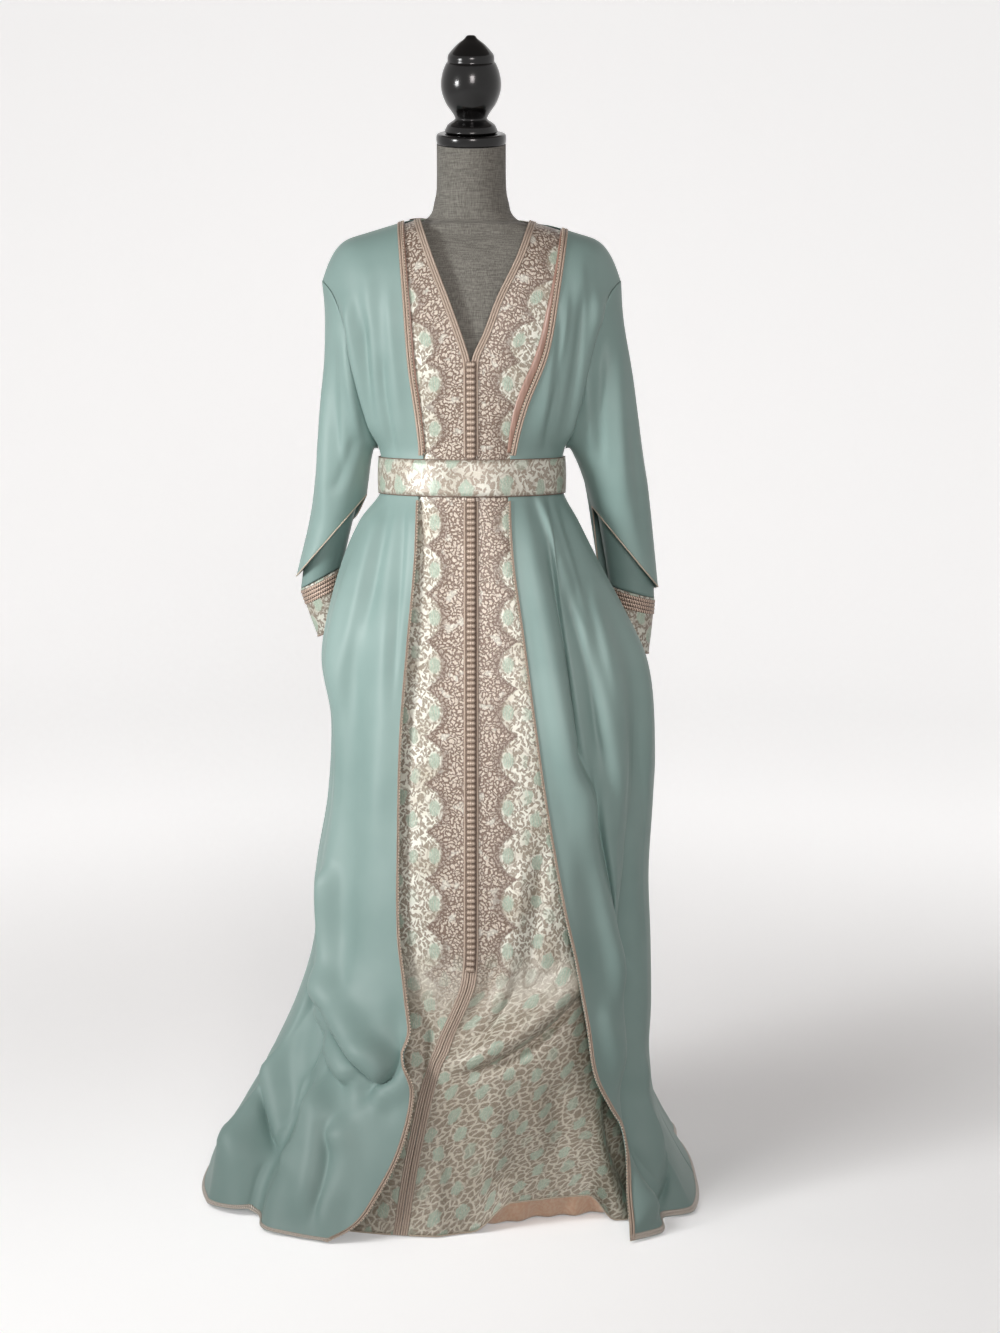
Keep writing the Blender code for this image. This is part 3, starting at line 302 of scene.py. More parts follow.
OVER_RIGHT_CREASES = (
    ("front", 0.158, 1.440, 0.155, 1.300, 0.118, 1.125, 0.010, 0.0050, 0.3),
    ("front", 0.178, 1.400, 0.172, 1.300, 0.130, 1.130, 0.009, 0.0045, 0.0),
    ("front", 0.138, 1.390, 0.128, 1.290, 0.090, 1.130, 0.009, 0.0040, 0.3),
    ("front", 0.188, 1.370, 0.167, 1.250, 0.138, 1.128, 0.0065, -0.0085, 0.3),
    ("front", 0.162, 1.400, 0.150, 1.270, 0.122, 1.128, 0.0060, -0.0065, 0.2),
    ("front", 0.130, 1.360, 0.122, 1.250, 0.102, 1.128, 0.0060, -0.0045, 0.0),
    # the rolled strip beside the front edge and the deep folds that start at the belt
    ("front", 0.086, 1.094, 0.106, 1.000, 0.136, 0.860, 0.0065, -0.0070, 0.3),
    ("front", 0.106, 1.094, 0.136, 1.000, 0.176, 0.880, 0.0065, -0.0060, 0.2),
    ("front", 0.080, 1.085, 0.108, 0.860, 0.150, 0.600, 0.014, 0.0080, 0.0),
    ("front", 0.090, 1.088, 0.130, 0.860, 0.178, 0.600, 0.010, -0.0120, 0.5),
    ("front", 0.178, 0.640, 0.200, 0.500, 0.245, 0.340, 0.013, -0.0110, 0.4),
    ("front", 0.105, 1.088, 0.150, 0.960, 0.185, 0.800, 0.010, 0.0070, 0.0),
    ("front", 0.120, 1.088, 0.165, 0.950, 0.215, 0.740, 0.010, -0.0080, 0.3),
    ("front", 0.160, 0.960, 0.200, 0.780, 0.225, 0.560, 0.018, 0.0080, 0.0),
    ("front", 0.240, 0.760, 0.262, 0.580, 0.262, 0.330, 0.014, -0.0070, 0.4),
    ("front", 0.205, 0.700, 0.228, 0.520, 0.238, 0.380, 0.012, -0.0050, 0.0),
    # hem
    ("front", 0.188, 0.360, 0.215, 0.260, 0.262, 0.160, 0.020, 0.0100, 0.0),
    ("front", 0.276, 0.210, 0.282, 0.130, 0.262, 0.010, 0.012, -0.0130, 0.5),
    ("front", 0.306, 0.200, 0.315, 0.110, 0.325, 0.020, 0.018, 0.0100, 0.0),
    ("front", 0.240, 0.110, 0.243, 0.050, 0.240, 0.004, 0.012, 0.0060, 0.0),
    ("right", -0.050, 1.060, -0.070, 0.860, -0.080, 0.560, 0.016, 0.0030, 0.0),
    ("right", 0.010, 1.020, 0.012, 0.780, 0.000, 0.420, 0.018, -0.0080, 0.0),
    ("right", -0.110, 0.540, -0.115, 0.330, -0.130, 0.080, 0.022, -0.0110, 0.0),
    ("right", -0.040, 0.520, -0.050, 0.280, -0.050, 0.040, 0.026, 0.0020, 0.0),
)
OVER_BACK_CREASES = (
    ("back", -0.120, 1.420, -0.100, 1.300, -0.070, 1.130, 0.013, 0.0040, 0.0),
    ("back", 0.126, 1.420, 0.108, 1.290, 0.078, 1.130, 0.013, 0.0045, 0.0),
    ("back", -0.060, 1.300, -0.052, 1.220, -0.040, 1.130, 0.011, 0.0030, 0.0),
    ("back", 0.035, 1.320, 0.030, 1.220, 0.022, 1.130, 0.011, 0.0030, 0.0),
    ("back", -0.085, 1.085, -0.110, 0.900, -0.140, 0.620, 0.014, 0.0070, 0.0),
    ("back", -0.045, 1.085, -0.058, 0.860, -0.078, 0.480, 0.013, -0.0080, 0.2),
    ("back", -0.010, 1.085, -0.014, 0.900, -0.026, 0.560, 0.012, 0.0060, 0.0),
    ("back", 0.030, 1.085, 0.044, 0.880, 0.060, 0.430, 0.013, -0.0085, -0.2),
    ("back", 0.070, 1.085, 0.100, 0.900, 0.135, 0.560, 0.014, 0.0070, 0.0),
    ("back", 0.110, 1.060, 0.150, 0.860, 0.190, 0.520, 0.016, -0.0070, 0.0),
    ("back", -0.130, 1.040, -0.165, 0.840, -0.195, 0.500, 0.016, -0.0070, 0.0),
    ("back", -0.200, 0.560, -0.235, 0.300, -0.290, 0.030, 0.024, 0.0130, 0.0),
    ("back", -0.120, 0.520, -0.150, 0.260, -0.180, 0.010, 0.022, -0.0120, 0.0),
    ("back", 0.010, 0.560, 0.006, 0.280, -0.010, 0.010, 0.022, 0.0110, 0.0),
    ("back", 0.110, 0.480, 0.140, 0.240, 0.170, 0.010, 0.022, -0.0130, 0.0),
    ("back", 0.200, 0.520, 0.225, 0.260, 0.260, 0.020, 0.022, 0.0110, 0.0),
    ("left", 0.100, 0.900, 0.130, 0.560, 0.160, 0.100, 0.024, -0.0110, 0.0),
    ("left", 0.190, 0.600, 0.210, 0.330, 0.230, 0.030, 0.024, 0.0060, 0.0),
    ("right", 0.100, 0.880, 0.130, 0.540, 0.150, 0.080, 0.024, -0.0110, 0.0),
    ("right", 0.190, 0.560, 0.215, 0.300, 0.230, 0.030, 0.022, 0.0060, 0.0),
)
UNDER_CREASES = (
    # the big diagonal folds that the lifted hem pulls across the front
    ("front", 0.175, 0.420, 0.090, 0.322, -0.060, 0.246, 0.017, 0.0130, 0.0),
    ("front", 0.185, 0.385, 0.095, 0.285, -0.020, 0.228, 0.013, -0.0110, 0.4),
    ("front", 0.040, 0.420, 0.010, 0.330, -0.060, 0.262, 0.014, -0.0090, 0.0),
    ("front", 0.075, 0.560, 0.062, 0.440, 0.040, 0.330, 0.014, 0.0060, 0.0),
    ("front", 0.105, 0.600, 0.098, 0.480, 0.082, 0.360, 0.011, -0.0050, 0.0),
    ("front", -0.060, 0.330, -0.070, 0.270, -0.072, 0.200, 0.012, -0.0080, 0.0),
    ("front", 0.120, 0.240, 0.130, 0.150, 0.130, 0.060, 0.020, -0.0060, 0.0),
    ("front", 0.030, 0.230, 0.035, 0.140, 0.030, 0.050, 0.022, 0.0060, 0.0),
    ("front", -0.030, 0.200, -0.032, 0.110, -0.028, 0.010, 0.018, -0.0050, 0.0),
)
CREASE_STEPS = 16

# Folds that lie over themselves: the cloth on the crease's right, seen walking down it, stands forward
# by `rise` and slides across by `slide`; both are negative where the left side lies on top
STEP_COLUMNS = ("view", "from_a", "from_z", "mid_a", "mid_z", "to_a", "to_z", "width", "rise", "slide")
OVER_LEFT_STEPS = (
    ("front", -0.196, 1.385, -0.166, 1.265, -0.134, 1.125, 0.012, 0.0060, 0.0060),
    ("front", -0.222, 0.540, -0.226, 0.440, -0.208, 0.312, 0.015, 0.0090, 0.0150),
    ("front", -0.240, 0.392, -0.172, 0.292, -0.092, 0.228, 0.017, 0.0150, 0.0260),
    ("front", -0.250, 0.335, -0.216, 0.262, -0.172, 0.222, 0.014, 0.0080, 0.0150),
    ("front", -0.100, 0.305, -0.094, 0.240, -0.172, 0.196, 0.013, 0.0080, 0.0150),
    ("front", -0.284, 0.310, -0.304, 0.190, -0.262, 0.070, 0.016, 0.0100, 0.0170),
    ("front", -0.300, 0.280, -0.345, 0.170, -0.385, 0.075, 0.016, 0.0070, 0.0120),
    ("front", -0.205, 0.180, -0.196, 0.100, -0.226, 0.004, 0.018, 0.0080, 0.0140),
)
UNDER_STEPS = (
    ("front", 0.190, 0.400, 0.095, 0.308, -0.050, 0.240, 0.015, -0.0050, -0.0120),
    ("front", 0.060, 0.400, 0.015, 0.310, -0.060, 0.262, 0.012, -0.0050, -0.0080),
)
OVER_RIGHT_STEPS = (
    ("front", 0.198, 1.390, 0.168, 1.255, 0.134, 1.125, 0.012, -0.0060, -0.0060),
    ("front", 0.100, 1.100, 0.122, 0.880, 0.160, 0.600, 0.012, -0.0050, -0.0130),
    ("front", 0.158, 0.720, 0.188, 0.520, 0.240, 0.320, 0.015, -0.0080, -0.0150),
    ("front", 0.140, 0.960, 0.180, 0.840, 0.205, 0.660, 0.014, 0.0035, 0.0080),
    ("front", 0.276, 0.250, 0.283, 0.120, 0.254, 0.004, 0.018, -0.0120, -0.0200),
)
VIEWS = {"front": (0.0, -1.0), "back": (0.0, 1.0), "left": (-1.0, 0.0), "right": (1.0, 0.0)}

BODICE_BY_ROW = tuple((float(row),) + values for row, values in enumerate(BODICE))
SKIRT_LAST_ROW = WAIST_ROW + len(SKIRT)
SKIRT_TOP = (WAIST_Z, BODICE[-1][4], BODICE[-1][4], BODICE[-1][1], BODICE[-1][2], 2.0, 2.0)


def smooth(value):
    value = np.clip(value, 0.0, 1.0)
    return value * value * (3 - 2 * value)


def unit(vectors):
    return vectors / np.maximum(np.linalg.norm(vectors, axis=-1, keepdims=True), 1e-9)


def table_at(columns, rows, where):
    """A table's columns where its first one reaches `where`, on a smooth curve through the rows."""
    rows = np.array(sorted(rows), dtype=float)
    keys = rows[:, 0]
    where = np.clip(np.asarray(where, dtype=float), keys[0], keys[-1])
    after = np.clip(np.searchsorted(keys, where), 1, len(keys) - 1)
    before = after - 1
    low = np.maximum(np.arange(len(keys)) - 1, 0)
    high = np.minimum(np.arange(len(keys)) + 1, len(keys) - 1)
    slopes = (rows[high] - rows[low]) / (keys[high] - keys[low])[:, None]
    step = (keys[after] - keys[before])[..., None]
    part = (where - keys[before])[..., None] / step
    found = (
        rows[before] * (1 + 2 * part) * (1 - part) ** 2 + slopes[before] * step * part * (1 - part) ** 2
        + rows[after] * part * part * (3 - 2 * part) + slopes[after] * step * part * part * (part - 1)
    )
    return dict(zip(columns, np.moveaxis(found, -1, 0)))


def shoulder_height(x):
    past = np.maximum(0.0, (x - DROP_START_X) / (SHOULDER_REACH - DROP_START_X))
    return NECK_POINT_Z - SHOULDER_SLOPE * (x - NECK_POINT_X) - SHOULDER_DROP * past ** 3


def skirt_height(row):
    heights = [WAIST_Z] + [values[0] for values in SKIRT]
    return np.interp(row - WAIST_ROW, np.arange(len(heights)), heights)


def fold_rise(turn, z, under):
    """How far the main folds lift the drape out. The under-dress follows the troughs in full."""
    turn = (turn + 90.0) % 360.0 - 90.0
    rise = np.zeros_like(z)
    for row in FOLDS:
        fold = dict(zip(FOLD_COLUMNS, row))
        strength = smooth((fold["start"] - z) / (fold["start"] - fold["full"]))
        strength = strength * smooth((z - fold["end"]) / (fold["fade"] - fold["end"]))
        share = np.clip((WAIST_Z - z) / WAIST_Z, 0.0, 1.0)
        middle = fold["top_turn"] + (fold["hem_turn"] - fold["top_turn"]) * share
        middle = (middle + 90.0) % 360.0 - 90.0
        away = np.abs(turn - middle)
        away = np.minimum(np.minimum(away, 360.0 - away), fold["spread"])
        bump = 0.5 + 0.5 * np.cos(np.pi * away / fold["spread"])
        size = fold["rise"] * (UNDER_RIDGE_SHARE if under and fold["rise"] > 0 else 1.0)
        rise = rise + size * strength * bump
    return rise


def drape(turn, row, under=False):
    """Points of the drape surface."""
    turn, row = np.broadcast_arrays(np.asarray(turn, dtype=float), np.asarray(row, dtype=float))
    across = np.sin(np.radians(turn))
    along = np.cos(np.radians(turn))
    front = along > 0
    body = table_at(("row",) + BODICE_COLUMNS, BODICE_BY_ROW, np.minimum(row, WAIST_ROW))
    seam = shoulder_height(np.abs(across) * SHOULDER_REACH)
    depth = body["arm"] + (np.where(front, body["front"], body["back"]) - body["arm"]) * np.abs(along)
    upper = np.stack([
        across * body["reach"], np.where(front, -depth, depth), seam + (WAIST_Z - seam) * body["fall"]], -1)
    z = skirt_height(row)
    skirt = table_at(SKIRT_COLUMNS, (SKIRT_TOP,) + SKIRT, z)
    right = across > 0
    half = np.where(right, skirt["right"], skirt["left"])
    power = 2.0 / np.where(right, skirt["square_right"], skirt["square_left"])
    depth = np.where(front, skirt["front"], skirt["back"])
    x = np.copysign(half * np.abs(across) ** power, across)
    y = -np.copysign(depth * np.abs(along) ** power, along)
    out = unit(np.stack([x / half ** 2, y / depth ** 2, 0.0 * z], -1))
    rise = fold_rise(turn, z, under)
    if under:
        rise = rise - table_at(UNDER_COLUMNS, UNDER, z)["inset"]
        tuck = np.maximum(0.0, 1.0 - ((turn - TUCK_TURN) / TUCK_SPREAD) ** 2) * (np.abs(turn) < 90)
        rise = rise - TUCK_DEPTH * tuck * smooth((TUCK_TOP_Z - z) / TUCK_TOP_Z)
    lower = np.stack([x, y, z], -1) + out * rise[..., None]
    return np.where((row <= WAIST_ROW)[..., None], upper, lower)


def normals_at(turn, row, under=False):
    """Outward normals of the drape. At an armhole the slope is taken just inside the surface's end."""
    turn, row = np.broadcast_arrays(np.asarray(turn, dtype=float), np.asarray(row, dtype=float))
    inside = 87.0
    clamped = np.where(turn <= 90.0, np.clip(turn, -inside, inside), 180.0 + np.clip(turn - 180.0, -inside, inside))
    middle = np.where(row < UNDERARM_ROW - 0.5, clamped, turn)
    top = np.maximum(row - 0.05, 0.0)
    low = np.minimum(row + 0.05, float(SKIRT_LAST_ROW))
    down = drape(middle, low, under) - drape(middle, top, under)
    around = drape(middle + 1.0, row, under) - drape(middle - 1.0, row, under)
    return unit(np.cross(down, around))


def turn_at(x, row):
    """The turn, on the front, at which the drape lies a distance x from the centre plane."""
    body = table_at(("row",) + BODICE_COLUMNS, BODICE_BY_ROW, np.minimum(row, WAIST_ROW))
    skirt = table_at(SKIRT_COLUMNS, (SKIRT_TOP,) + SKIRT, skirt_height(row))
    reach = np.where(x > 0, skirt["right"], skirt["left"])
    power = np.where(x > 0, skirt["square_right"], skirt["square_left"]) / 2.0
    share = np.where(row <= WAIST_ROW, np.abs(x) / body["reach"], (np.abs(x) / reach) ** power)
    return np.degrees(np.copysign(np.arcsin(np.clip(share, 0.0, 1.0)), x))


def edge_turn(edge, row, shift=0.0):
    x = np.zeros_like(row)
    for _ in range(5):
        z = drape(turn_at(x, row), row)[..., 2]
        x = table_at(EDGE_COLUMNS, edge, z)["x"]
    return turn_at(x + shift, row)


def side_gap(row, back, side):
    """Degrees from the side at which a panel ends, so that half the seam's gap is left."""
    skirt = table_at(SKIRT_COLUMNS, (SKIRT_TOP,) + SKIRT, skirt_height(row))
    depth = skirt["back"] if back else skirt["front"]
    square = skirt["square_right"] if side > 0 else skirt["square_left"]
    gap = np.degrees(np.arcsin((0.5 * SIDE_SEAM / depth) ** (0.5 * square)))
    gap = np.where(row <= WAIST_ROW, math.degrees(0.5 * SIDE_SEAM / BODICE[-1][4]), gap)
    return np.where(row < UNDERARM_ROW, BACK_START, gap)


def beside_path(crease, points):
    """A crease's own path at the nearest spot: squared distance, side, place along it and its direction."""
    a = points[..., 0] if VIEWS[crease["view"]][0] == 0.0 else points[..., 1]
    z = points[..., 2]
    start = np.array([crease["from_a"], crease["from_z"]])
    end = np.array([crease["to_a"], crease["to_z"]])
    bend = 2.0 * np.array([crease["mid_a"], crease["mid_z"]]) - 0.5 * (start + end)
    t = np.linspace(0.0, 1.0, CREASE_STEPS + 1)[:, None]
    path = (1 - t) ** 2 * start + 2 * t * (1 - t) * bend + t * t * end
    best = np.full(a.shape, 1e9)
    side = np.zeros(a.shape)
    place = np.zeros(a.shape)
    run = np.zeros(a.shape + (2,))
    for i in range(CREASE_STEPS):
        step = path[i + 1] - path[i]
        size = float(step @ step)
        da = a - path[i][0]
        dz = z - path[i][1]
        share = np.clip((da * step[0] + dz * step[1]) / size, 0.0, 1.0)
        gap = (da - share * step[0]) ** 2 + (dz - share * step[1]) ** 2
        nearer = gap < best
        best = np.where(nearer, gap, best)
        side = np.where(nearer, np.sign(da * step[1] - dz * step[0]), side)
        place = np.where(nearer, (i + share) / CREASE_STEPS, place)
        run = np.where(nearer[..., None], step / math.sqrt(size), run)
    return best, side, place, run


def crease_rise(table, points, normals):
    """Height of the creases at points of a piece, each seen from its own side."""
    total = np.zeros(points.shape[:-1])
    for row in table:
        crease = dict(zip(CREASE_COLUMNS, row))
        facing = VIEWS[crease["view"]]
        best, side, place, _ = beside_path(crease, points)
        ends = smooth(np.minimum(place, 1.0 - place) / 0.28)
        width = crease["width"] * (1.0 + side * crease["lean"])
        seen = smooth((normals[..., 0] * facing[0] + normals[..., 1] * facing[1]) * 2.0)
        total = total + crease["rise"] * np.exp(-best / width ** 2) * ends * seen
    return total


def step_shift(table, points, normals):
    """How far the folds that lie over themselves move points of a piece."""
    total = np.zeros_like(points)
    for row in table:
        fold = dict(zip(STEP_COLUMNS, row))
        facing = VIEWS[fold["view"]]
        best, side, place, run = beside_path(fold, points)
        ends = smooth(np.minimum(place, 1.0 - place) / 0.22)
        seen = smooth((normals[..., 0] * facing[0] + normals[..., 1] * facing[1]) * 2.0)
        gap = -side * np.sqrt(best) / fold["width"]
        bell = np.exp(-gap * gap) * ends * seen
        lift = normals * (fold["rise"] * 2.33 * gap * bell)[..., None]
        over = np.stack([run[..., 1], -run[..., 0]], -1) * (fold["slide"] * bell)[..., None]
        across = 0 if facing[0] == 0.0 else 1
        lift[..., across] += over[..., 0]
        lift[..., 2] += over[..., 1]
        total = total + lift
    return total


def fine_rows():
    """Rows every 8 mm or so down the garment, closer at the shoulder."""
    rows = [0.0]
    for i in range(SKIRT_LAST_ROW):
        if i < WAIST_ROW:
            fall = BODICE[i + 1][0] - BODICE[i][0]
            count = max(3, math.ceil(fall * 0.33 / ROW_STEP))
        else:
            heights = [WAIST_Z] + [values[0] for values in SKIRT]
            fall = heights[i - WAIST_ROW] - heights[i - WAIST_ROW + 1]
            count = max(2, math.ceil(fall / ROW_STEP))
        rows += [i + (k + 1) / count for k in range(count)]
    return np.array(rows)


def running_length(points, axis):
    """Distance run along an axis of a grid of points."""
    steps = np.linalg.norm(np.diff(points, axis=axis), axis=-1)
    start = np.zeros_like(np.take(steps, [0], axis=axis))
    return np.concatenate([start, np.cumsum(steps, axis=axis)], axis=axis)


def panel(first, last, columns, out, under=False, creases=(), place=None, extra=None, steps=()):
    """Grid of a panel between two turns, with its columns evenly spread along each row."""
    place = place or (lambda turns, rows: rows + 0.0 * turns)
    rows = ROWS[:, None]
    shares = np.linspace(0.0, 1.0, 160)
    turns = first[:, None] + (last - first)[:, None] * shares
    lengths = running_length(drape(turns, place(turns, rows), under), 1)
    even = np.linspace(0.0, 1.0, columns)
    turns = np.stack([np.interp(even * length[-1], length, turn) for length, turn in zip(lengths, turns)])
    spots = place(turns, rows)
    points = drape(turns, spots, under)
    normals = normals_at(turns, spots, under)
    rise = crease_rise(creases, points, normals) + out
    if extra is not None:
        rise = rise + extra(turns, spots, points)
    return points + normals * rise[..., None] + step_shift(steps, points, normals), normals


def grid_faces(rows, columns, closed=False):
    """Quads of a grid as pairs of (row, column), the last column running back to the first if closed."""
    r = np.arange(rows - 1)[:, None]
    c = np.arange(columns if closed else columns - 1)[None, :]
    r, c = [v.ravel() for v in np.broadcast_arrays(r, c)]
    return np.stack([np.stack([r, c], -1), np.stack([r + 1, c], -1), np.stack([r + 1, c + 1], -1),
                     np.stack([r, c + 1], -1)], 1)


def new_piece(name, points, faces, finish, corner_uvs=None):
    mesh = bpy.data.meshes.new(name)
    mesh.from_pydata(np.asarray(points).reshape(-1, 3).tolist(), [], faces.tolist())
    mesh.update()
    for layer, values in (corner_uvs or {}).items():
        mesh.uv_layers.new(name=layer).data.foreach_set("uv", values.astype(np.float32).ravel())
    mesh.materials.append(finish)
    mesh.shade_smooth()
    piece = bpy.data.objects.new(name, mesh)
    bpy.context.scene.collection.objects.link(piece)
    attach(piece, "root")
    return piece


def grid_piece(name, points, finish, uvs=None, closed=False, wall=0.0, centre=None):
    """A sheet through a grid of points, facing away from `centre`, thickened inwards if it has a wall."""
    rows, columns = points.shape[:2]
    corners = grid_faces(rows, columns, closed)
    faces = corners[..., 0] * columns + corners[..., 1] % columns
    flat = points.reshape(-1, 3)
    if centre is not None:
        quad = flat[faces]
        facing = np.cross(quad[:, 1] - quad[:, 0], quad[:, 3] - quad[:, 0])
        away = quad.mean(axis=1) - centre
        away[:, 2] = 0.0
        if (facing * away).sum() < 0.0:
            faces = faces[:, ::-1]
            corners = corners[:, ::-1]
    wide = columns + 1 if closed else columns
    spots = (corners[..., 0] * wide + corners[..., 1]).ravel()
    corner_uvs = {layer: values.reshape(-1, 2)[spots] for layer, values in (uvs or {}).items()}
    piece = new_piece(name, flat, faces, finish, corner_uvs)
    if wall:
        shell = piece.modifiers.new("wall", "SOLIDIFY")
        shell.thickness = wall
        shell.offset = -1.0
    return piece


def panel_uvs(points, front_column, side):
    """Cloth coordinates in metres: grain from the centre plane and down, edge from the front edge."""
    across = running_length(points, 1)
    across = np.abs(across - across[:, [front_column]])
    down = running_length(points, 0)[:, [front_column]] + 0.0 * across
    centre = np.abs(points[:, [front_column], 0])
    return {"grain": np.stack([side * (across + centre), -down], -1), "edge": np.stack([across, -down], -1)}


def cords(width, count, height):
    """Profile of flat-backed round cords side by side: distance across and height, from edge to edge."""
    each = width / count
    profile = [(0.0, 0.0)]
    for i in range(count):
        for turn in (30, 65, 90, 115, 150) if count < 3 else (35, 90, 145):
            angle = math.radians(turn)
            profile.append((each * (i + 0.5 - 0.5 * math.cos(angle)), height * math.sin(angle)))
        profile.append((each * (i + 1), 0.25 * height if i < count - 1 else 0.0))
    return np.array(profile)


def ribbon(name, path, inward, normal, profile, finish, lift=0.0, widths=1.0):
    """A trim of one profile along a path: the profile runs inward from the path and out along the normal."""
    spread = profile[None, :, :1] * np.reshape(widths, (-1, 1, 1))
    points = path[:, None] + inward[:, None] * spread + normal[:, None] * (lift + profile[None, :, 1:])
    along = running_length(path[:, None], 0)
    uv = np.stack(np.broadcast_arrays(profile[None, :, 0], along), -1)
    piece = grid_piece(name, points, finish, {"edge": uv, "grain": uv})
    facing = np.cross(points[1, 0] - points[0, 0], points[0, -1] - points[0, 0])
    if facing @ normal[0] < 0:
        piece.data.flip_normals()
    return piece


def edge_frame(points, normals, column, inner):
    """Path, inward direction and outward normal along one column of a panel."""
    path = points[:, column]
    inward = unit(points[:, inner] - path)
    along = unit(np.gradient(path, axis=0))
    normal = unit(np.cross(along, inward))
    normal = normal * np.sign((normal * normals[:, column]).sum(-1, keepdims=True))
    return path, inward, normal


def copies(name, places, across, down, front, template, faces, finish):
    """Copies of a small closed form, joined in one mesh, each in its own frame."""
    points = (places[:, None] + across[:, None] * template[None, :, :1] + down[:, None] * template[None, :, 1:2]
              + front[:, None] * template[None, :, 2:])
    count = len(template)
    joined = [face + count * i for i in range(len(places)) for face in faces]
    return new_piece(name, points, np.array(joined), finish)


def ball(rings, segments, size, middle=(0.0, 0.0, 0.0)):
    """A closed ball of quads and its faces, its poles along the second axis."""
    points = []
    for r in range(rings + 1):
        angle = math.pi * max(0.02, min(0.98, r / rings))
        for s in range(segments):
            turn = 2.0 * math.pi * s / segments
            points.append((size[0] * math.sin(angle) * math.cos(turn) + middle[0],
                           size[1] * math.cos(angle) + middle[1],
                           size[2] * math.sin(angle) * math.sin(turn) + middle[2]))
    faces = []
    for r in range(rings):
        for s in range(segments):
            a = r * segments + s
            b = r * segments + (s + 1) % segments
            faces.append(np.array([a, b, b + segments, a + segments]))
    return np.array(points), faces


def evenly(path, step, *others):
    """Places every `step` along a path, with the other arrays read at the same places."""
    length = running_length(path[:, None], 0)[:, 0]
    spots = np.arange(0.5 * step, length[-1], step)
    found = [np.stack([np.interp(spots, length, values[:, k]) for k in range(3)], -1)
             for values in (path,) + others]
    return found if others else found[0]


def turned(name, profile, steps, finish):
    """A turned form about its own Z axis."""
    mesh = bpy.data.meshes.new(name)
    points = [(radius, 0.0, height) for radius, height in profile]
    mesh.from_pydata(points, [(i, i + 1) for i in range(len(points) - 1)], [])
    mesh.materials.append(finish)
    piece = bpy.data.objects.new(name, mesh)
    bpy.context.scene.collection.objects.link(piece)
    screw = piece.modifiers.new("turn", "SCREW")
    screw.steps = steps
    screw.render_steps = steps
    screw.use_merge_vertices = True
    screw.merge_threshold = 0.00001
    screw.use_smooth_shade = True
    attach(piece, "root")
    return piece


def eased(profile, count):
    """A profile's points on a smooth curve through them, `count` to each step."""
    profile = np.array(profile, dtype=float)
    ends = np.concatenate([profile[:1], profile, profile[-1:]])
    found = []
    for i in range(1, len(ends) - 2):
        p0, p1, p2, p3 = ends[i - 1:i + 3]
        for k in range(count):
            t = k / count
            found.append(0.5 * (2 * p1 + (p2 - p0) * t + (2 * p0 - 5 * p1 + 4 * p2 - p3) * t * t
                                + (3 * p1 - p0 - 3 * p2 + p3) * t ** 3))
    found.append(profile[-1])
    return np.array(found)


def colour(text):
    """A colour written as in a paint list, turned to the linear values that light works with."""
    values = [int(text[i:i + 2], 16) / 255.0 for i in (1, 3, 5)]
    return tuple(v / 12.92 if v <= 0.04045 else ((v + 0.055) / 1.055) ** 2.4 for v in values) + (1.0,)


def add(tree, kind, inputs=None, **settings):
    """Adds a node; each input takes a number, a colour, or another node's output."""
    made = tree.nodes.new("ShaderNode" + kind)
    for key, value in settings.items():
        setattr(made, key, value)
    for key, value in (inputs or {}).items():
        if isinstance(value, bpy.types.Node):
            value = value.outputs[0]
        if isinstance(value, bpy.types.NodeSocket):
            tree.links.new(value, made.inputs[key])
        else:
            made.inputs[key].default_value = value
    return made


def new_material(name, **inputs):
    """A named material with its Principled shader's own sockets set."""
    finish = bpy.data.materials.new(name)
    finish.use_nodes = True
    tree = finish.node_tree
    shader = tree.nodes["Principled BSDF"]
    for key, value in inputs.items():
        shader.inputs[key.replace("_", " ")].default_value = value
    return finish, tree, shader


def blend(tree, share, first, second):
    """Colour that runs from the first to the second as share runs from 0 to 1."""
    mixed = add(tree, "Mix", {0: share, 6: first, 7: second}, data_type="RGBA")
    return mixed.outputs[2]


def ramp(tree, value, low, high):
    """0 where the value is at `low`, 1 where it is at `high`, eased between."""
    return add(tree, "MapRange", {0: value, 1: low, 2: high, 3: 0.0, 4: 1.0}, interpolation_type="SMOOTHSTEP")


def maths(tree, operation, first, second=0.0):
    return add(tree, "Math", {0: first, 1: second}, operation=operation)


def bump(tree, shader, height, distance, strength=1.0):
    node = add(tree, "Bump", {"Strength": strength, "Distance": distance, "Height": height})
    tree.links.new(node.outputs[0], shader.inputs["Normal"])


def crepe(name, base, light):
    """Satin-backed crepe, piece dyed: a fine pebbled grain that softens the light, with a low sheen."""
    finish, tree, shader = new_material(
        name, Roughness=0.5, Sheen_Weight=0.25, Sheen_Roughness=0.35, Sheen_Tint=colour("#cfe2dc"),
        Specular_IOR_Level=0.42)
    place = add(tree, "TexCoord").outputs["Object"]
    broad = add(tree, "TexNoise", {"Vector": place, "Scale": 7.0, "Detail": 3.0})
    tone = blend(tree, ramp(tree, broad, 0.3, 0.7), colour(base), colour(light))
    tree.links.new(tone, shader.inputs["Base Color"])
    grain = add(tree, "TexNoise", {"Vector": place, "Scale": 900.0, "Detail": 2.0})
    slub = add(tree, "TexNoise", {"Vector": add(tree, "Mapping", {"Vector": place, "Scale": (60.0, 60.0, 9.0)}),
                                  "Scale": 1.0, "Detail": 3.0})
    height = maths(tree, "ADD", maths(tree, "MULTIPLY", grain, 0.35), slub)
    bump(tree, shader, height, 0.0006, 0.5)
    return finish


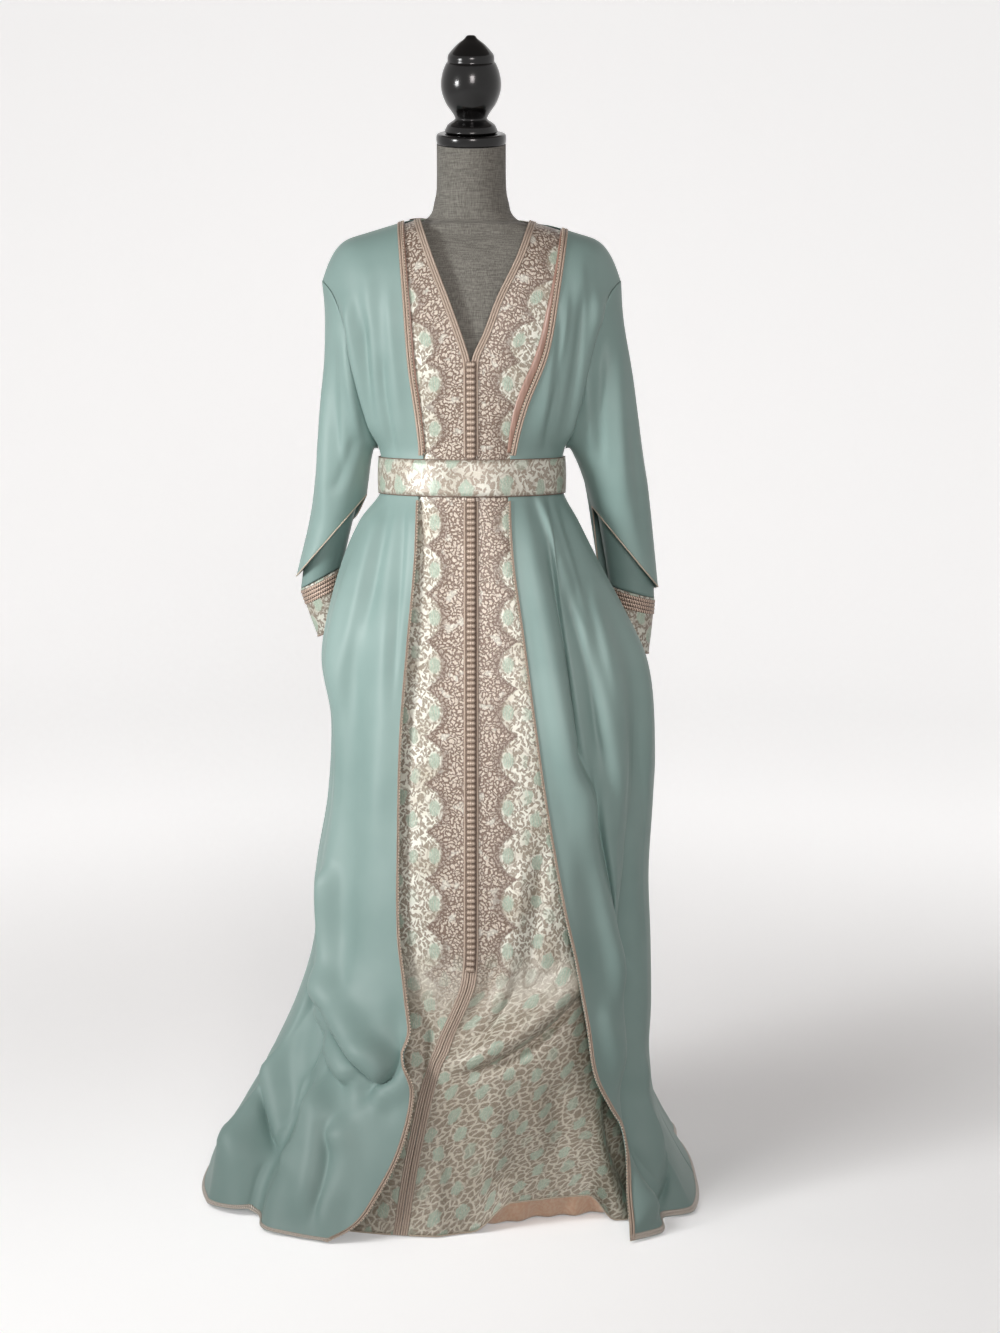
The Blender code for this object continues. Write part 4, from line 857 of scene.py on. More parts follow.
def satin(name, base, light):
    """Warp-faced silk satin: smooth floats that give a broad, soft highlight."""
    finish, tree, shader = new_material(
        name, Roughness=0.32, Sheen_Weight=0.15, Sheen_Roughness=0.3, Specular_IOR_Level=0.6)
    place = add(tree, "TexCoord").outputs["Object"]
    streak = add(tree, "TexNoise", {"Vector": add(tree, "Mapping", {"Vector": place, "Scale": (240.0, 240.0, 12.0)}),
                                    "Scale": 1.0, "Detail": 2.0})
    cloth_colour = blend(tree, ramp(tree, streak, 0.35, 0.65), colour(base), colour(light))
    tree.links.new(cloth_colour, shader.inputs["Base Color"])
    bump(tree, shader, streak, 0.0004, 0.4)
    return finish


def leaves(tree, place, turn, length, width, full=0.30):
    """Small leaf shapes in rows, long along a direction: 1 inside a leaf."""
    laid = add(tree, "Mapping", {"Vector": place, "Rotation": (0.0, 0.0, math.radians(turn)),
                                 "Scale": (length, width, 1.0)}, vector_type="TEXTURE")
    cells = add(tree, "TexVoronoi", {"Vector": laid, "Scale": 1.0, "Randomness": 0.8}, voronoi_dimensions="2D")
    return ramp(tree, cells, full + 0.10, full)


def brocade(name, ground, shade, leaf, sage, thread, scale=1.0, scallops=False):
    """Jacquard brocade, woven of silk and lurex: a satin ground that catches light, matt leaf and oval
    motifs floated over it, and beside the closure a dense machine embroidery with pointed scallops."""
    finish, tree, shader = new_material(
        name, Roughness=0.38, Sheen_Weight=0.1, Sheen_Roughness=0.4, Specular_IOR_Level=0.6, Metallic=0.08)
    cloth = add(tree, "UVMap", uv_map="grain")
    wander = add(tree, "TexNoise", {"Vector": cloth, "Scale": 60.0, "Detail": 3.0}).outputs["Color"]
    drift = add(tree, "VectorMath", {0: wander, 1: (0.5, 0.5, 0.5)}, operation="SUBTRACT")
    drift = add(tree, "VectorMath", {0: drift, "Scale": 0.016 * scale}, operation="SCALE")
    place = add(tree, "VectorMath", {0: cloth, 1: drift}, operation="ADD")
    broad = add(tree, "TexNoise", {"Vector": cloth, "Scale": 16.0, "Detail": 2.0})
    fine = add(tree, "TexNoise", {"Vector": cloth, "Scale": 420.0, "Detail": 2.0})

    half_drop = math.sqrt(2.0)
    laid = add(tree, "Mapping", {"Vector": place, "Rotation": (0.0, 0.0, math.radians(45.0)),
                                 "Scale": (half_drop / (OVAL_PITCH_X * scale), half_drop / (OVAL_PITCH_Z * scale), 1.0)})
    ovals = add(tree, "TexVoronoi", {"Vector": laid, "Scale": 1.0, "Randomness": 0.3}, voronoi_dimensions="2D")
    oval = ramp(tree, ovals, 0.31, 0.22)
    rim = ramp(tree, maths(tree, "ABSOLUTE", maths(tree, "SUBTRACT", ovals, 0.36)), 0.06, 0.01)
    strength = add(tree, "SeparateXYZ", {0: ovals.outputs["Color"]})
    oval = maths(tree, "MULTIPLY", oval, ramp(tree, strength, 0.0, 0.4))
    across = add(tree, "SeparateXYZ", {0: place})
    hatch = maths(tree, "SINE", maths(tree, "MULTIPLY", across, 2.0 * math.pi / 0.0034))
    hatch = ramp(tree, hatch, -0.2, 1.0)

    # the leaves stand closer and larger towards the hem of the gown
    up = add(tree, "SeparateXYZ", {0: add(tree, "TexCoord").outputs["Object"]}).outputs[2]
    dense = ramp(tree, up, 0.44, 0.30) if scallops else 0.0
    laid = add(tree, "Mapping", {"Vector": place, "Rotation": (0.0, 0.0, math.radians(35.0)),
                                 "Scale": (0.0125 * scale, 0.0088 * scale, 1.0)}, vector_type="TEXTURE")
    large = add(tree, "TexVoronoi", {"Vector": laid, "Scale": 1.0, "Randomness": 0.9},
                voronoi_dimensions="2D", feature="DISTANCE_TO_EDGE")
    large = ramp(tree, maths(tree, "ADD", large, maths(tree, "MULTIPLY", maths(tree, "SUBTRACT", fine, 0.5), 0.3)),
                 0.06, 0.20)
    small = maths(tree, "MAXIMUM", leaves(tree, place, 62.0, 0.0120 * scale, 0.0052 * scale, 0.26),
                  leaves(tree, place, -50.0, 0.0125 * scale, 0.0055 * scale, 0.26))
    leaf_mask = maths(tree, "MAXIMUM", maths(tree, "MULTIPLY", large, dense),
                      maths(tree, "MULTIPLY", small, maths(tree, "SUBTRACT", 1.0, dense)))
    leaf_mask = maths(tree, "MULTIPLY", leaf_mask, 0.85)
    tone = blend(tree, ramp(tree, broad, 0.40, 0.75), colour(ground), colour(shade))
    tone = blend(tree, maths(tree, "MULTIPLY", dense, 0.8), tone, colour(shade))
    tone = blend(tree, leaf_mask, tone, colour(leaf))
    tone = blend(tree, maths(tree, "MULTIPLY", rim, 0.45), tone, colour(leaf))
    height = maths(tree, "MULTIPLY", leaf_mask, 0.5)
    if scallops:
        edge = add(tree, "SeparateXYZ", {0: add(tree, "UVMap", uv_map="edge")})
        repeat = maths(tree, "FRACT", maths(tree, "DIVIDE", edge.outputs[1], SCALLOP_PITCH))
        swing = maths(tree, "SUBTRACT", maths(tree, "MULTIPLY", repeat, 2.0), 1.0)
        crest = maths(tree, "MULTIPLY", maths(tree, "POWER", maths(tree, "ABSOLUTE", swing), 2.4), SCALLOP_DEPTH)
        reach = maths(tree, "ADD", crest, BAND_WIDTH)
        reach = maths(tree, "ADD", reach, maths(tree, "MULTIPLY", maths(tree, "SUBTRACT", broad, 0.5), 0.012))
        inside = maths(tree, "SUBTRACT", reach, edge.outputs[0])
        inside = maths(tree, "ADD", inside, maths(tree, "MULTIPLY", maths(tree, "SUBTRACT", fine, 0.5), 0.008))
        band = ramp(tree, inside, -0.001, 0.003)
        band = maths(tree, "MULTIPLY", band, maths(tree, "SUBTRACT", 1.0, dense))
        rosette = add(tree, "TexVoronoi", {"Vector": place, "Scale": 165.0, "Randomness": 0.95},
                      voronoi_dimensions="2D")
        curl = maths(tree, "SINE", maths(tree, "MULTIPLY", rosette, 9.5))
        curl = ramp(tree, maths(tree, "ADD", curl, maths(tree, "MULTIPLY", fine, 2.6)), 1.0, 1.8)
        patch = ramp(tree, add(tree, "TexNoise", {"Vector": cloth, "Scale": 42.0, "Detail": 2.0}), 0.60, 0.68)
        stitched = blend(tree, curl, colour(thread), colour("#d6cbbc"))
        stitched = blend(tree, maths(tree, "MULTIPLY", patch, 0.6), stitched, colour(ground))
        dark_rim = maths(tree, "MULTIPLY", ramp(tree, inside, 0.020, 0.004), 0.60)
        stitched = blend(tree, dark_rim, stitched, colour("#6f5b4e"))
        tone = blend(tree, band, tone, stitched)
        height = maths(tree, "ADD", height, maths(tree, "MULTIPLY", band, curl))
        # one oval sits in each hollow of the scallops
        beside = maths(tree, "DIVIDE", maths(tree, "SUBTRACT", edge.outputs[0], BAND_WIDTH + 0.010), 0.0085)
        below = maths(tree, "DIVIDE", maths(tree, "MULTIPLY", swing, 0.5 * SCALLOP_PITCH), 0.0120)
        around = maths(tree, "SQRT", maths(tree, "ADD", maths(tree, "MULTIPLY", beside, beside),
                                           maths(tree, "MULTIPLY", below, below)))
        set_oval = maths(tree, "MULTIPLY", ramp(tree, around, 1.2, 0.75), maths(tree, "SUBTRACT", 1.0, dense))
        outline = ramp(tree, maths(tree, "ABSOLUTE", maths(tree, "SUBTRACT", around, 1.28)), 0.22, 0.05)
        outline = maths(tree, "MULTIPLY", outline, maths(tree, "SUBTRACT", 1.0, dense))
        tone = blend(tree, maths(tree, "MULTIPLY", outline, 0.35), tone, colour(leaf))
        free = maths(tree, "SUBTRACT", 1.0, ramp(tree, edge.outputs[0], BAND_WIDTH + 0.045, BAND_WIDTH + 0.025))
        free = maths(tree, "MAXIMUM", free, dense)
        oval = maths(tree, "MAXIMUM", maths(tree, "MULTIPLY", oval, free), set_oval)
    tinted = blend(tree, maths(tree, "MULTIPLY", hatch, 0.55), colour(sage), colour(shade))
    tone = blend(tree, maths(tree, "MULTIPLY", oval, 0.85), tone, tinted)
    height = maths(tree, "ADD", height, maths(tree, "MULTIPLY", oval, 0.4))
    tone = blend(tree, maths(tree, "MULTIPLY", ramp(tree, fine, 0.55, 0.75), 0.45), tone, colour("#f6f3ea"))
    tone = blend(tree, maths(tree, "MULTIPLY", ramp(tree, fine, 0.42, 0.28), 0.30), tone, colour(leaf))
    tree.links.new(tone, shader.inputs["Base Color"])
    bump(tree, shader, maths(tree, "ADD", height, maths(tree, "MULTIPLY", fine, 0.8)), 0.0007, 0.7)
    return finish


def braid(name, dark, light, pitch, slant, grooves=0.0, groove="#4d3d34"):
    """Sfifa braid, plaited by hand from silk and metal thread: short slanted floats with dark grooves."""
    finish, tree, shader = new_material(name, Roughness=0.40, Metallic=0.20, Specular_IOR_Level=0.7)
    edge = add(tree, "SeparateXYZ", {0: add(tree, "UVMap", uv_map="edge")})
    lean = maths(tree, "MULTIPLY", edge.outputs[0], slant)
    strand = maths(tree, "ADD", edge.outputs[1], lean)
    wave = maths(tree, "SINE", maths(tree, "MULTIPLY", strand, 2.0 * math.pi / pitch))
    fine = add(tree, "TexNoise", {"Vector": add(tree, "TexCoord").outputs["Object"], "Scale": 500.0, "Detail": 2.0})
    mask = ramp(tree, maths(tree, "ADD", wave, maths(tree, "MULTIPLY", fine, 1.4)), -0.4, 1.4)
    tone = blend(tree, mask, colour(dark), colour(light))
    if grooves:
        side = maths(tree, "ABSOLUTE", maths(tree, "SINE", maths(tree, "MULTIPLY", edge.outputs[0],
                                                                   math.pi / grooves)))
        tone = blend(tree, ramp(tree, side, 0.45, 0.10), tone, colour(groove))
    tree.links.new(tone, shader.inputs["Base Color"])
    bump(tree, shader, maths(tree, "ADD", wave, fine), 0.0003, 0.6)
    return finish


def linen(name, base, light):
    """Heathered linen, plain woven, glued over the form: crossed threads of uneven weight."""
    finish, tree, shader = new_material(name, Roughness=0.85, Sheen_Weight=0.1, Specular_IOR_Level=0.25)
    place = add(tree, "TexCoord").outputs["Object"]
    warp = add(tree, "TexNoise", {"Vector": add(tree, "Mapping", {"Vector": place, "Scale": (900.0, 900.0, 70.0)}),
                                  "Scale": 1.0, "Detail": 2.0})
    weft = add(tree, "TexNoise", {"Vector": add(tree, "Mapping", {"Vector": place, "Scale": (60.0, 60.0, 900.0)}),
                                  "Scale": 1.0, "Detail": 2.0})
    woven = maths(tree, "MULTIPLY", maths(tree, "ADD", warp, weft), 0.5)
    tree.links.new(blend(tree, ramp(tree, woven, 0.36, 0.64), colour(base), colour(light)), shader.inputs["Base Color"])
    bump(tree, shader, woven, 0.0008, 0.6)
    return finish


def lacquer(name, base, wood):
    """Black gloss lacquer, brushed on turned beech: a clear deep gloss, with small chips to the wood."""
    finish, tree, shader = new_material(
        name, Roughness=0.20, Coat_Weight=0.25, Coat_Roughness=0.05, Specular_IOR_Level=0.32)
    place = add(tree, "TexCoord").outputs["Object"]
    chips = ramp(tree, add(tree, "TexNoise", {"Vector": place, "Scale": 95.0, "Detail": 4.0}), 0.72, 0.76)
    tree.links.new(blend(tree, chips, colour(base), colour(wood)), shader.inputs["Base Color"])
    ripple = add(tree, "TexNoise", {"Vector": place, "Scale": 40.0, "Detail": 2.0})
    bump(tree, shader, ripple, 0.0006, 0.25)
    return finish


def paint(name, base):
    """Powder-coated steel: an even satin skin with a faint orange peel."""
    finish, tree, shader = new_material(name, Roughness=0.42, Metallic=0.0, Specular_IOR_Level=0.5)
    place = add(tree, "TexCoord").outputs["Object"]
    peel = add(tree, "TexNoise", {"Vector": place, "Scale": 300.0, "Detail": 2.0})
    paint_colour = blend(tree, ramp(tree, peel, 0.3, 0.7), colour(base), colour("#242424"))
    tree.links.new(paint_colour, shader.inputs["Base Color"])
    bump(tree, shader, peel, 0.0003, 0.3)
    return finish


ROWS = fine_rows()
BODY_CENTRE = (0.0, 0.03, 0.0)
BELT_TOP_ROWS = ROWS <= WAIST_ROW - 0.05
BELT_LOW_ROWS = ROWS >= WAIST_ROW + 1.05

sage = crepe("sage satin-backed crepe", "#819c97", "#8ca6a1")
# A darker copy of the sage crepe for the under-sleeves: painted shade for the shadow inside the wide over-sleeves
sage_painted_shade = crepe("sage satin-backed crepe, darker copy for painted shade", "#708a85", "#7b9590")
brocade_gown = brocade("champagne silk and lurex brocade, jacquard woven", "#eeefe3", "#c9c2b0", "#877a67",
                       "#a3bba9", "#7a6657", scallops=True)
# The cuffs' brocade is a darker copy of the gown's brocade: painted shade for the cuffs that hang in shadow
brocade_cuff_painted_shade = brocade("champagne brocade, cuff width", "#ced0c4", "#b0aa9b", "#766858", "#a3bba9", "#806a5b")
brocade_belt = brocade("champagne brocade, belt width", "#dadbcf", "#c3bfb0", "#918372", "#a3bba9", "#8d7869",
                       scale=1.2)
rose_braid = braid("rose-gold sfifa braid, plaited silk and metal thread", "#86705f", "#d0bdab", 0.0022, 0.9,
                   0.5 * (BRAID_WIDTH - 0.0010))
rose_cord = braid("rose-gold twisted cord", "#8a7163", "#d9c2b0", 0.0018, 0.5, (SFIFA_WIDTH - 0.0010) / 3.0)
gown_cord = braid("champagne sfifa braid, plaited lurex", "#96806f", "#d6c6b5", 0.0018, 0.5,
                  (SFIFA_WIDTH - 0.0010) / 3.0, "#66544a")
hem_rope = braid("silvery rose rope, twisted silk and metal thread", "#93857a", "#ddd6cb", 0.0030, 0.6)
cuff_braid = braid("beaded cuff sfifa, rose-gold on brown", "#5d4a3f", "#cdb5a2", 0.0040, 0.4, 0.0058, "#33281f")
# Dark brown braid for the belt's cords and the ties between the knots; the same finish makes the painted shadow strip
# under the knots
dark_braid_and_shadow = braid("dark brown sfifa braid", "#54453b", "#8a7667", 0.0020, 0.8)
pale_cord = braid("pale gold picot cord", "#a8957f", "#e4d6c3", 0.0016, 0.5)
rose_silk = satin("rose silk satin facing", "#967565", "#ab897a")
peach_silk = satin("peach silk satin lining", "#efc29f", "#f8d6b8")
grey_linen = linen("grey heathered linen, plain woven", "#65635d", "#8b8a82")
black_gloss = lacquer("black gloss lacquer on turned beech", "#0b0a0a", "#6b4c33")
black_steel = paint("black powder-coated steel", "#191919")

over_left_turn = edge_turn(OVER_LEFT_EDGE, ROWS)
over_right_turn = edge_turn(OVER_RIGHT_EDGE, ROWS)
left_side = -(90.0 - side_gap(ROWS, False, -1))
right_side = 90.0 - side_gap(ROWS, False, 1)


def cover_left(points):
    """1 well inside what the over-robe's left front hides, 0 where the under-dress shows."""
    edge = table_at(EDGE_COLUMNS, OVER_LEFT_EDGE, points[..., 2])["x"]
    return smooth((edge - 0.012 - points[..., 0]) / 0.030)


def cover_right(points):
    edge = table_at(EDGE_COLUMNS, OVER_RIGHT_EDGE, points[..., 2])["x"]
    return smooth((points[..., 0] - edge - 0.012) / 0.030)


def tucked_in(depth_low, cover):
    """Extra inset of the under-dress where the over-robe hides it, so that deep creases stay clear."""
    def inset(turns, rows, points):
        low = smooth((WAIST_Z - 0.10 - points[..., 2]) / 0.20)
        return -cover(points) * (0.0012 + depth_low * low)
    return inset


def make_over_robe():
    robe = {}
    robe["left"] = panel(left_side, over_left_turn, 104, LAYER, False, OVER_LEFT_CREASES, steps=OVER_LEFT_STEPS)
    robe["right"] = panel(over_right_turn, right_side, 96, LAYER, False, OVER_RIGHT_CREASES, steps=OVER_RIGHT_STEPS)

    def back_place(turns, rows):
        start = neck_start(turns, BACK_NECK_ROW_OVER, OVER_LEFT_EDGE, OVER_RIGHT_EDGE)
        return np.where(rows <= WAIST_ROW, start + (WAIST_ROW - start) * rows / WAIST_ROW, rows)

    def back_ease(turns, rows, points):
        share = np.clip(rows / BACK_EASE_ROWS, 0.0, 1.0)
        inboard = np.minimum(1.5 * np.abs(np.cos(np.radians(turns))), 1.0)
        return BACK_EASE * 4.0 * share * (1.0 - share) * inboard

    robe["back"] = panel(90.0 + side_gap(ROWS, True, 1), 270.0 - side_gap(ROWS, True, -1), 120, LAYER, False,
                         OVER_BACK_CREASES, back_place, back_ease)
    return robe


def neck_start(turns, deepest, left_edge, right_edge):
    x = np.sin(np.radians(turns)) * SHOULDER_REACH
    neck = np.where(x < 0, -left_edge[-1][1], right_edge[-1][1])
    share = np.minimum(np.abs(x) / neck, 1.0)
    return deepest * (1.0 - share * share) ** 1.2


def hem_height(x):
    return HEM_CLEAR + TUCK_HEM_Z * smooth(x / 0.06) * smooth((0.215 - x) / 0.04)


def lift_hem(points):
    z = points[..., 2]
    hem = hem_height(points[..., 0])
    lifted = hem + (z - HEM_CLEAR) * (TUCK_LIFT_Z - hem) / (TUCK_LIFT_Z - HEM_CLEAR)
    points[..., 2] = np.where(z > TUCK_LIFT_Z, z, lifted)


def make_under_dress():
    left = edge_turn(PARTING + NECKLINE_LEFT, ROWS, -0.5 * SEAM)
    right = edge_turn(PARTING + NECKLINE_RIGHT, ROWS, 0.5 * SEAM)
    dress = {}
    dress["left"] = panel(left_side, left, 64, 0.0, True, UNDER_CREASES, None, tucked_in(0.010, cover_left),
                         UNDER_STEPS)
    dress["right"] = panel(right, right_side, 84, 0.0, True, UNDER_CREASES, None, tucked_in(0.010, cover_right),
                          UNDER_STEPS)
    lift_hem(dress["right"][0])

    def back_place(turns, rows):
        start = neck_start(turns, BACK_NECK_ROW_UNDER, NECKLINE_LEFT, NECKLINE_RIGHT)
        return np.where(rows <= WAIST_ROW, start + (WAIST_ROW - start) * rows / WAIST_ROW, rows)

    dress["back"] = panel(90.0 + side_gap(ROWS, True, 1), 270.0 - side_gap(ROWS, True, -1), 60, 0.0, True, (),
                          back_place, tucked_in(0.010, lambda points: np.ones(points.shape[:-1])))
    return dress


robe = make_over_robe()
dress = make_under_dress()
cloth = {}
for word, side, column in (("left", -1, -1), ("right", 1, 0)):
    points = robe[word][0]
    cloth["robe_" + word] = grid_piece("robe_front_" + word, points, sage, panel_uvs(points, column, side),
                                       wall=SHEET, centre=BODY_CENTRE)
    points = dress[word][0]
    cloth["dress_" + word] = grid_piece("dress_front_" + word, points, brocade_gown,
                                        panel_uvs(points, column, side), wall=SHEET, centre=BODY_CENTRE)
for name, panels, finish in (("robe_back", robe, sage), ("dress_back", dress, brocade_gown)):
    points = panels["back"][0]
    uvs = panel_uvs(points, points.shape[1] // 2, 1)
    uvs["edge"] = uvs["edge"] + np.array([1.0, 0.0])
    cloth[name] = grid_piece(name, points, finish, uvs, wall=SHEET, centre=BODY_CENTRE)


# Sleeves: rings from the armhole's own edge through the rows of a table
def armhole(side, out, under):
    rows = np.linspace(0.0, UNDERARM_ROW, ARM_STEPS)
    front = drape(side * 90.0, rows, under) + normals_at(side * 90.0, rows, under) * out
    back = front[1:-1] * np.array([1.0, -1.0, 1.0])
    return np.concatenate([front, back[::-1]])


def table_ring(side, row, shares, front_count):
    values = dict(zip(SLEEVE_COLUMNS, row))
    outer = np.array([side * values["outer_x"], values["middle"], values["outer_z"]])
    inner = np.array([side * values["inner_x"], values["middle"], values["inner_z"]])
    swell = np.sqrt(np.maximum(0.0, 1.0 - (2.0 * shares - 1.0) ** 2))
    face = np.where(np.arange(len(shares)) < front_count, -1.0, 1.0)
    ring = inner + (outer - inner) * shares[:, None]
    ring[:, 1] += face * values["depth"] * swell
    return ring


def smooth_rings(rings, count):
    """Rings on a smooth curve through the given ones."""
    rings = np.array(rings)
    ends = np.concatenate([2 * rings[:1] - rings[1:2], rings, 2 * rings[-1:] - rings[-2:-1]])
    found = []
    for i in range(1, len(ends) - 2):
        p0, p1, p2, p3 = ends[i - 1:i + 3]
        for k in range(count):
            t = k / count
            found.append(0.5 * (2 * p1 + (p2 - p0) * t + (2 * p0 - 5 * p1 + 4 * p2 - p3) * t * t
                                + (3 * p1 - p0 - 3 * p2 + p3) * t ** 3))
    found.append(rings[-1])
    return np.array(found)


SLEEVE_BACK_DROP = {-1: (0.020, 0.004), 1: (0.115, 0.002)}
SLEEVE_CREASES = {
    -1: (
        ("front", -0.188, 1.330, -0.180, 1.240, -0.166, 1.150, 0.008, 0.0050, 0.0),
        ("front", -0.205, 1.330, -0.205, 1.220, -0.196, 1.090, 0.011, -0.0050, 0.3),
        ("front", -0.225, 1.290, -0.225, 1.160, -0.222, 1.010, 0.012, 0.0050, 0.0),
        ("front", -0.170, 1.180, -0.190, 1.120, -0.215, 1.075, 0.009, -0.0040, 0.0),
        ("back", -0.200, 1.330, -0.200, 1.200, -0.190, 1.090, 0.012, -0.0050, 0.0),
        ("back", -0.225, 1.250, -0.230, 1.130, -0.238, 1.000, 0.012, 0.0050, 0.0),
        ("left", 0.010, 1.380, 0.012, 1.240, 0.020, 1.080, 0.012, -0.0040, 0.0),
    ),
    1: (
        ("front", 0.196, 1.330, 0.192, 1.220, 0.196, 1.085, 0.010, -0.0060, 0.4),
        ("front", 0.215, 1.330, 0.222, 1.200, 0.232, 1.030, 0.012, 0.0055, 0.0),
        ("front", 0.172, 1.280, 0.176, 1.200, 0.186, 1.120, 0.008, 0.0040, 0.0),
        ("front", 0.240, 1.200, 0.252, 1.100, 0.262, 0.990, 0.010, -0.0040, 0.0),
        ("back", 0.206, 1.330, 0.208, 1.200, 0.206, 1.090, 0.012, -0.0050, 0.0),
        ("back", 0.235, 1.250, 0.246, 1.130, 0.256, 1.000, 0.012, 0.0050, 0.0),
        ("right", 0.010, 1.380, 0.012, 1.240, 0.020, 1.080, 0.012, -0.0040, 0.0),
    ),
}


def creased(points, creases):
    """A closed grid with its creases, along normals that point away from its own rings' centres."""
    around = np.roll(points, -1, axis=1) - np.roll(points, 1, axis=1)
    normals = unit(np.cross(np.gradient(points, axis=0), around))
    away = points - points.mean(axis=1, keepdims=True)
    normals = normals * np.sign((normals * away).sum(-1).mean())
    return points + normals * crease_rise(creases, points, normals)[..., None], normals


def back_drop(side, points, shares):
    """The back half of a wide sleeve hangs lower beside the body, so its inside shows from the front."""
    down = np.linspace(0.0, 1.0, len(points))[:, None]
    behind = smooth((np.arange(points.shape[1]) - (ARM_STEPS - 1)) / 5.0)[None]
    amount = behind * (1.0 - shares[None]) ** 0.8 * smooth((down - 0.45) / 0.55)
    fall, aside = SLEEVE_BACK_DROP[side]
    return np.stack([side * aside * amount, 0.012 * amount, -fall * amount], -1)


def make_sleeves():
    made = {}
    for side, word in ((-1, "left"), (1, "right")):
        for kind, table, out, under in (("over", OVER_SLEEVES, LAYER, False), ("under", UNDER_SLEEVES, 0.0, True)):
            edge = armhole(side, out, under)
            low = edge[:ARM_STEPS, 2].min()
            shares = np.clip((edge[:, 2] - low) / (edge[0, 2] - low), 0.0, 1.0)
            lift = UNDERARM_LIFT * (1.0 - shares) ** 3 if under else 0.0 * shares
            first = edge * np.array([1.0, INNER_SLEEVE_SHARE if under else 1.0, 1.0])
            first = first + np.stack([0.0 * shares + side * (SEAM if under else 2.5 * SEAM), 0.0 * shares,
                                      lift - 2.0 * SEAM], -1)
            rings = [first] + [table_ring(side, row, shares, ARM_STEPS) for row in table[side]]
            points = smooth_rings(rings, SLEEVE_STEPS)
            if not under:
                points, _ = creased(points, SLEEVE_CREASES[side])
                points = points + back_drop(side, points, shares)
            made[kind, word] = points
            if under:
                made["cuff", word] = smooth_rings(
                    [table_ring(side, row, shares, ARM_STEPS) for row in CUFFS[side]], CUFF_STEPS)
    return made


def tube_uvs(points):
    """Cloth coordinates round a closed grid, one column more than it has."""
    closed = np.concatenate([points, points[:, :1]], axis=1)
    around = running_length(closed, 1)
    down = running_length(closed, 0)[:, [0]] + 0.0 * around
    return {"grain": np.stack([around, -down], -1), "edge": np.stack([around + 1.0, -down], -1)}


sleeves = make_sleeves()
for (kind, word), points in sleeves.items():
    # the under-sleeves and the cuffs take the darker copies of the crepe and the brocade, which are painted shade
    finish = {"over": sage, "under": sage_painted_shade, "cuff": brocade_cuff_painted_shade}[kind]
    cloth[kind + "_sleeve_" + word] = grid_piece(
        {"over": "robe_sleeve_", "under": "dress_sleeve_", "cuff": "dress_cuff_"}[kind] + word, points, finish,
        tube_uvs(points), closed=True, wall=SHEET, centre=points.reshape(-1, 3).mean(axis=0))


# Belt: one stiff band with a corded edge, closed at the centre back
def make_belt():
    heights = np.linspace(WAIST_Z - 0.002, BELT_LOW_Z + 0.001, 9)
    turns = np.linspace(-90.0, 270.0, 145)[:-1]
    rows = WAIST_ROW + (WAIST_Z - heights) / (WAIST_Z - BELT_LOW_Z)
    rows = np.clip(rows, WAIST_ROW, WAIST_ROW + 1.0)
    top = drape(turns, WAIST_ROW + 0.0 * turns) + normals_at(turns, WAIST_ROW + 0.02 + 0.0 * turns) * BELT_OUT
    low = drape(turns, WAIST_ROW + 1.0 + 0.0 * turns) + normals_at(turns, WAIST_ROW + 0.98 + 0.0 * turns) * BELT_OUT
    share = ((heights - heights[0]) / (heights[-1] - heights[0]))[:, None, None]
    points = top[None] * (1 - share) + low[None] * share
    points[..., 2] = heights[:, None]
    away = unit((points - np.array([0.0, 0.008, 0.0])) * np.array([1.0, 1.0, 0.0]))
    points = points + away * (0.0012 * 4.0 * share * (1.0 - share))
    return points, away


belt_points, belt_away = make_belt()
cloth["belt"] = grid_piece("belt_band", belt_points, brocade_belt, tube_uvs(belt_points), closed=True,
                           wall=BELT_WALL - 0.0006, centre=BODY_CENTRE)


def closed_cord(name, path, radius, finish, sides=8):
    """A round cord along a closed or open path of points."""
    along = unit(np.roll(path, -1, axis=0) - np.roll(path, 1, axis=0))
    out = unit(path - path.mean(axis=0))
    across = unit(np.cross(along, out))
    out = np.cross(across, along)
    angles = np.linspace(0.0, 2.0 * np.pi, sides, endpoint=False)
    points = path[:, None] + radius * (np.cos(angles)[None, :, None] * out[:, None]
                                       + np.sin(angles)[None, :, None] * across[:, None])
    points = np.concatenate([points, points[:1]])
    closed = np.concatenate([points, points[:, :1]], axis=1)
    down = running_length(closed, 0)[:, [0]] + np.zeros((1, sides + 1))
    round_about = np.broadcast_to(np.linspace(0.0, 2.0 * np.pi * radius, sides + 1), down.shape)
    uv = np.stack([round_about, down], -1)
    piece = grid_piece(name, points, finish, {"edge": uv, "grain": uv}, closed=True)
    quad = points[:2, :2]
    facing = np.cross(quad[1, 0] - quad[0, 0], quad[0, 1] - quad[0, 0])
    if facing @ (quad[0, 0] - path[0]) < 0:
        piece.data.flip_normals()
    return piece


def open_cord(name, path, out, radius, finish, sides=6):
    """A round cord along an open path, with the direction that is up from what it lies on."""
    along = unit(np.gradient(path, axis=0))
    across = unit(np.cross(along, out))
    out = np.cross(across, along)
    angles = np.linspace(0.0, 2.0 * np.pi, sides, endpoint=False)
    points = path[:, None] + radius * (np.cos(angles)[None, :, None] * out[:, None]
                                       + np.sin(angles)[None, :, None] * across[:, None])
    closed = np.concatenate([points, points[:, :1]], axis=1)
    down = running_length(closed, 0)[:, [0]] + np.zeros((1, sides + 1))
    round_about = np.broadcast_to(np.linspace(0.0, 2.0 * np.pi * radius, sides + 1), down.shape)
    uv = np.stack([round_about, down], -1)
    piece = grid_piece(name, points, finish, {"edge": uv, "grain": uv}, closed=True)
    facing = np.cross(points[1, 0] - points[0, 0], points[0, 1] - points[0, 0])
    if facing @ (points[0, 0] - path[0]) < 0:
        piece.data.flip_normals()
    return piece


for i, edge in ((0, "top"), (-1, "low")):
    closed_cord("belt_cord_" + edge, belt_points[i] + belt_away[i] * -0.0006, 0.0009, dark_braid_and_shadow)


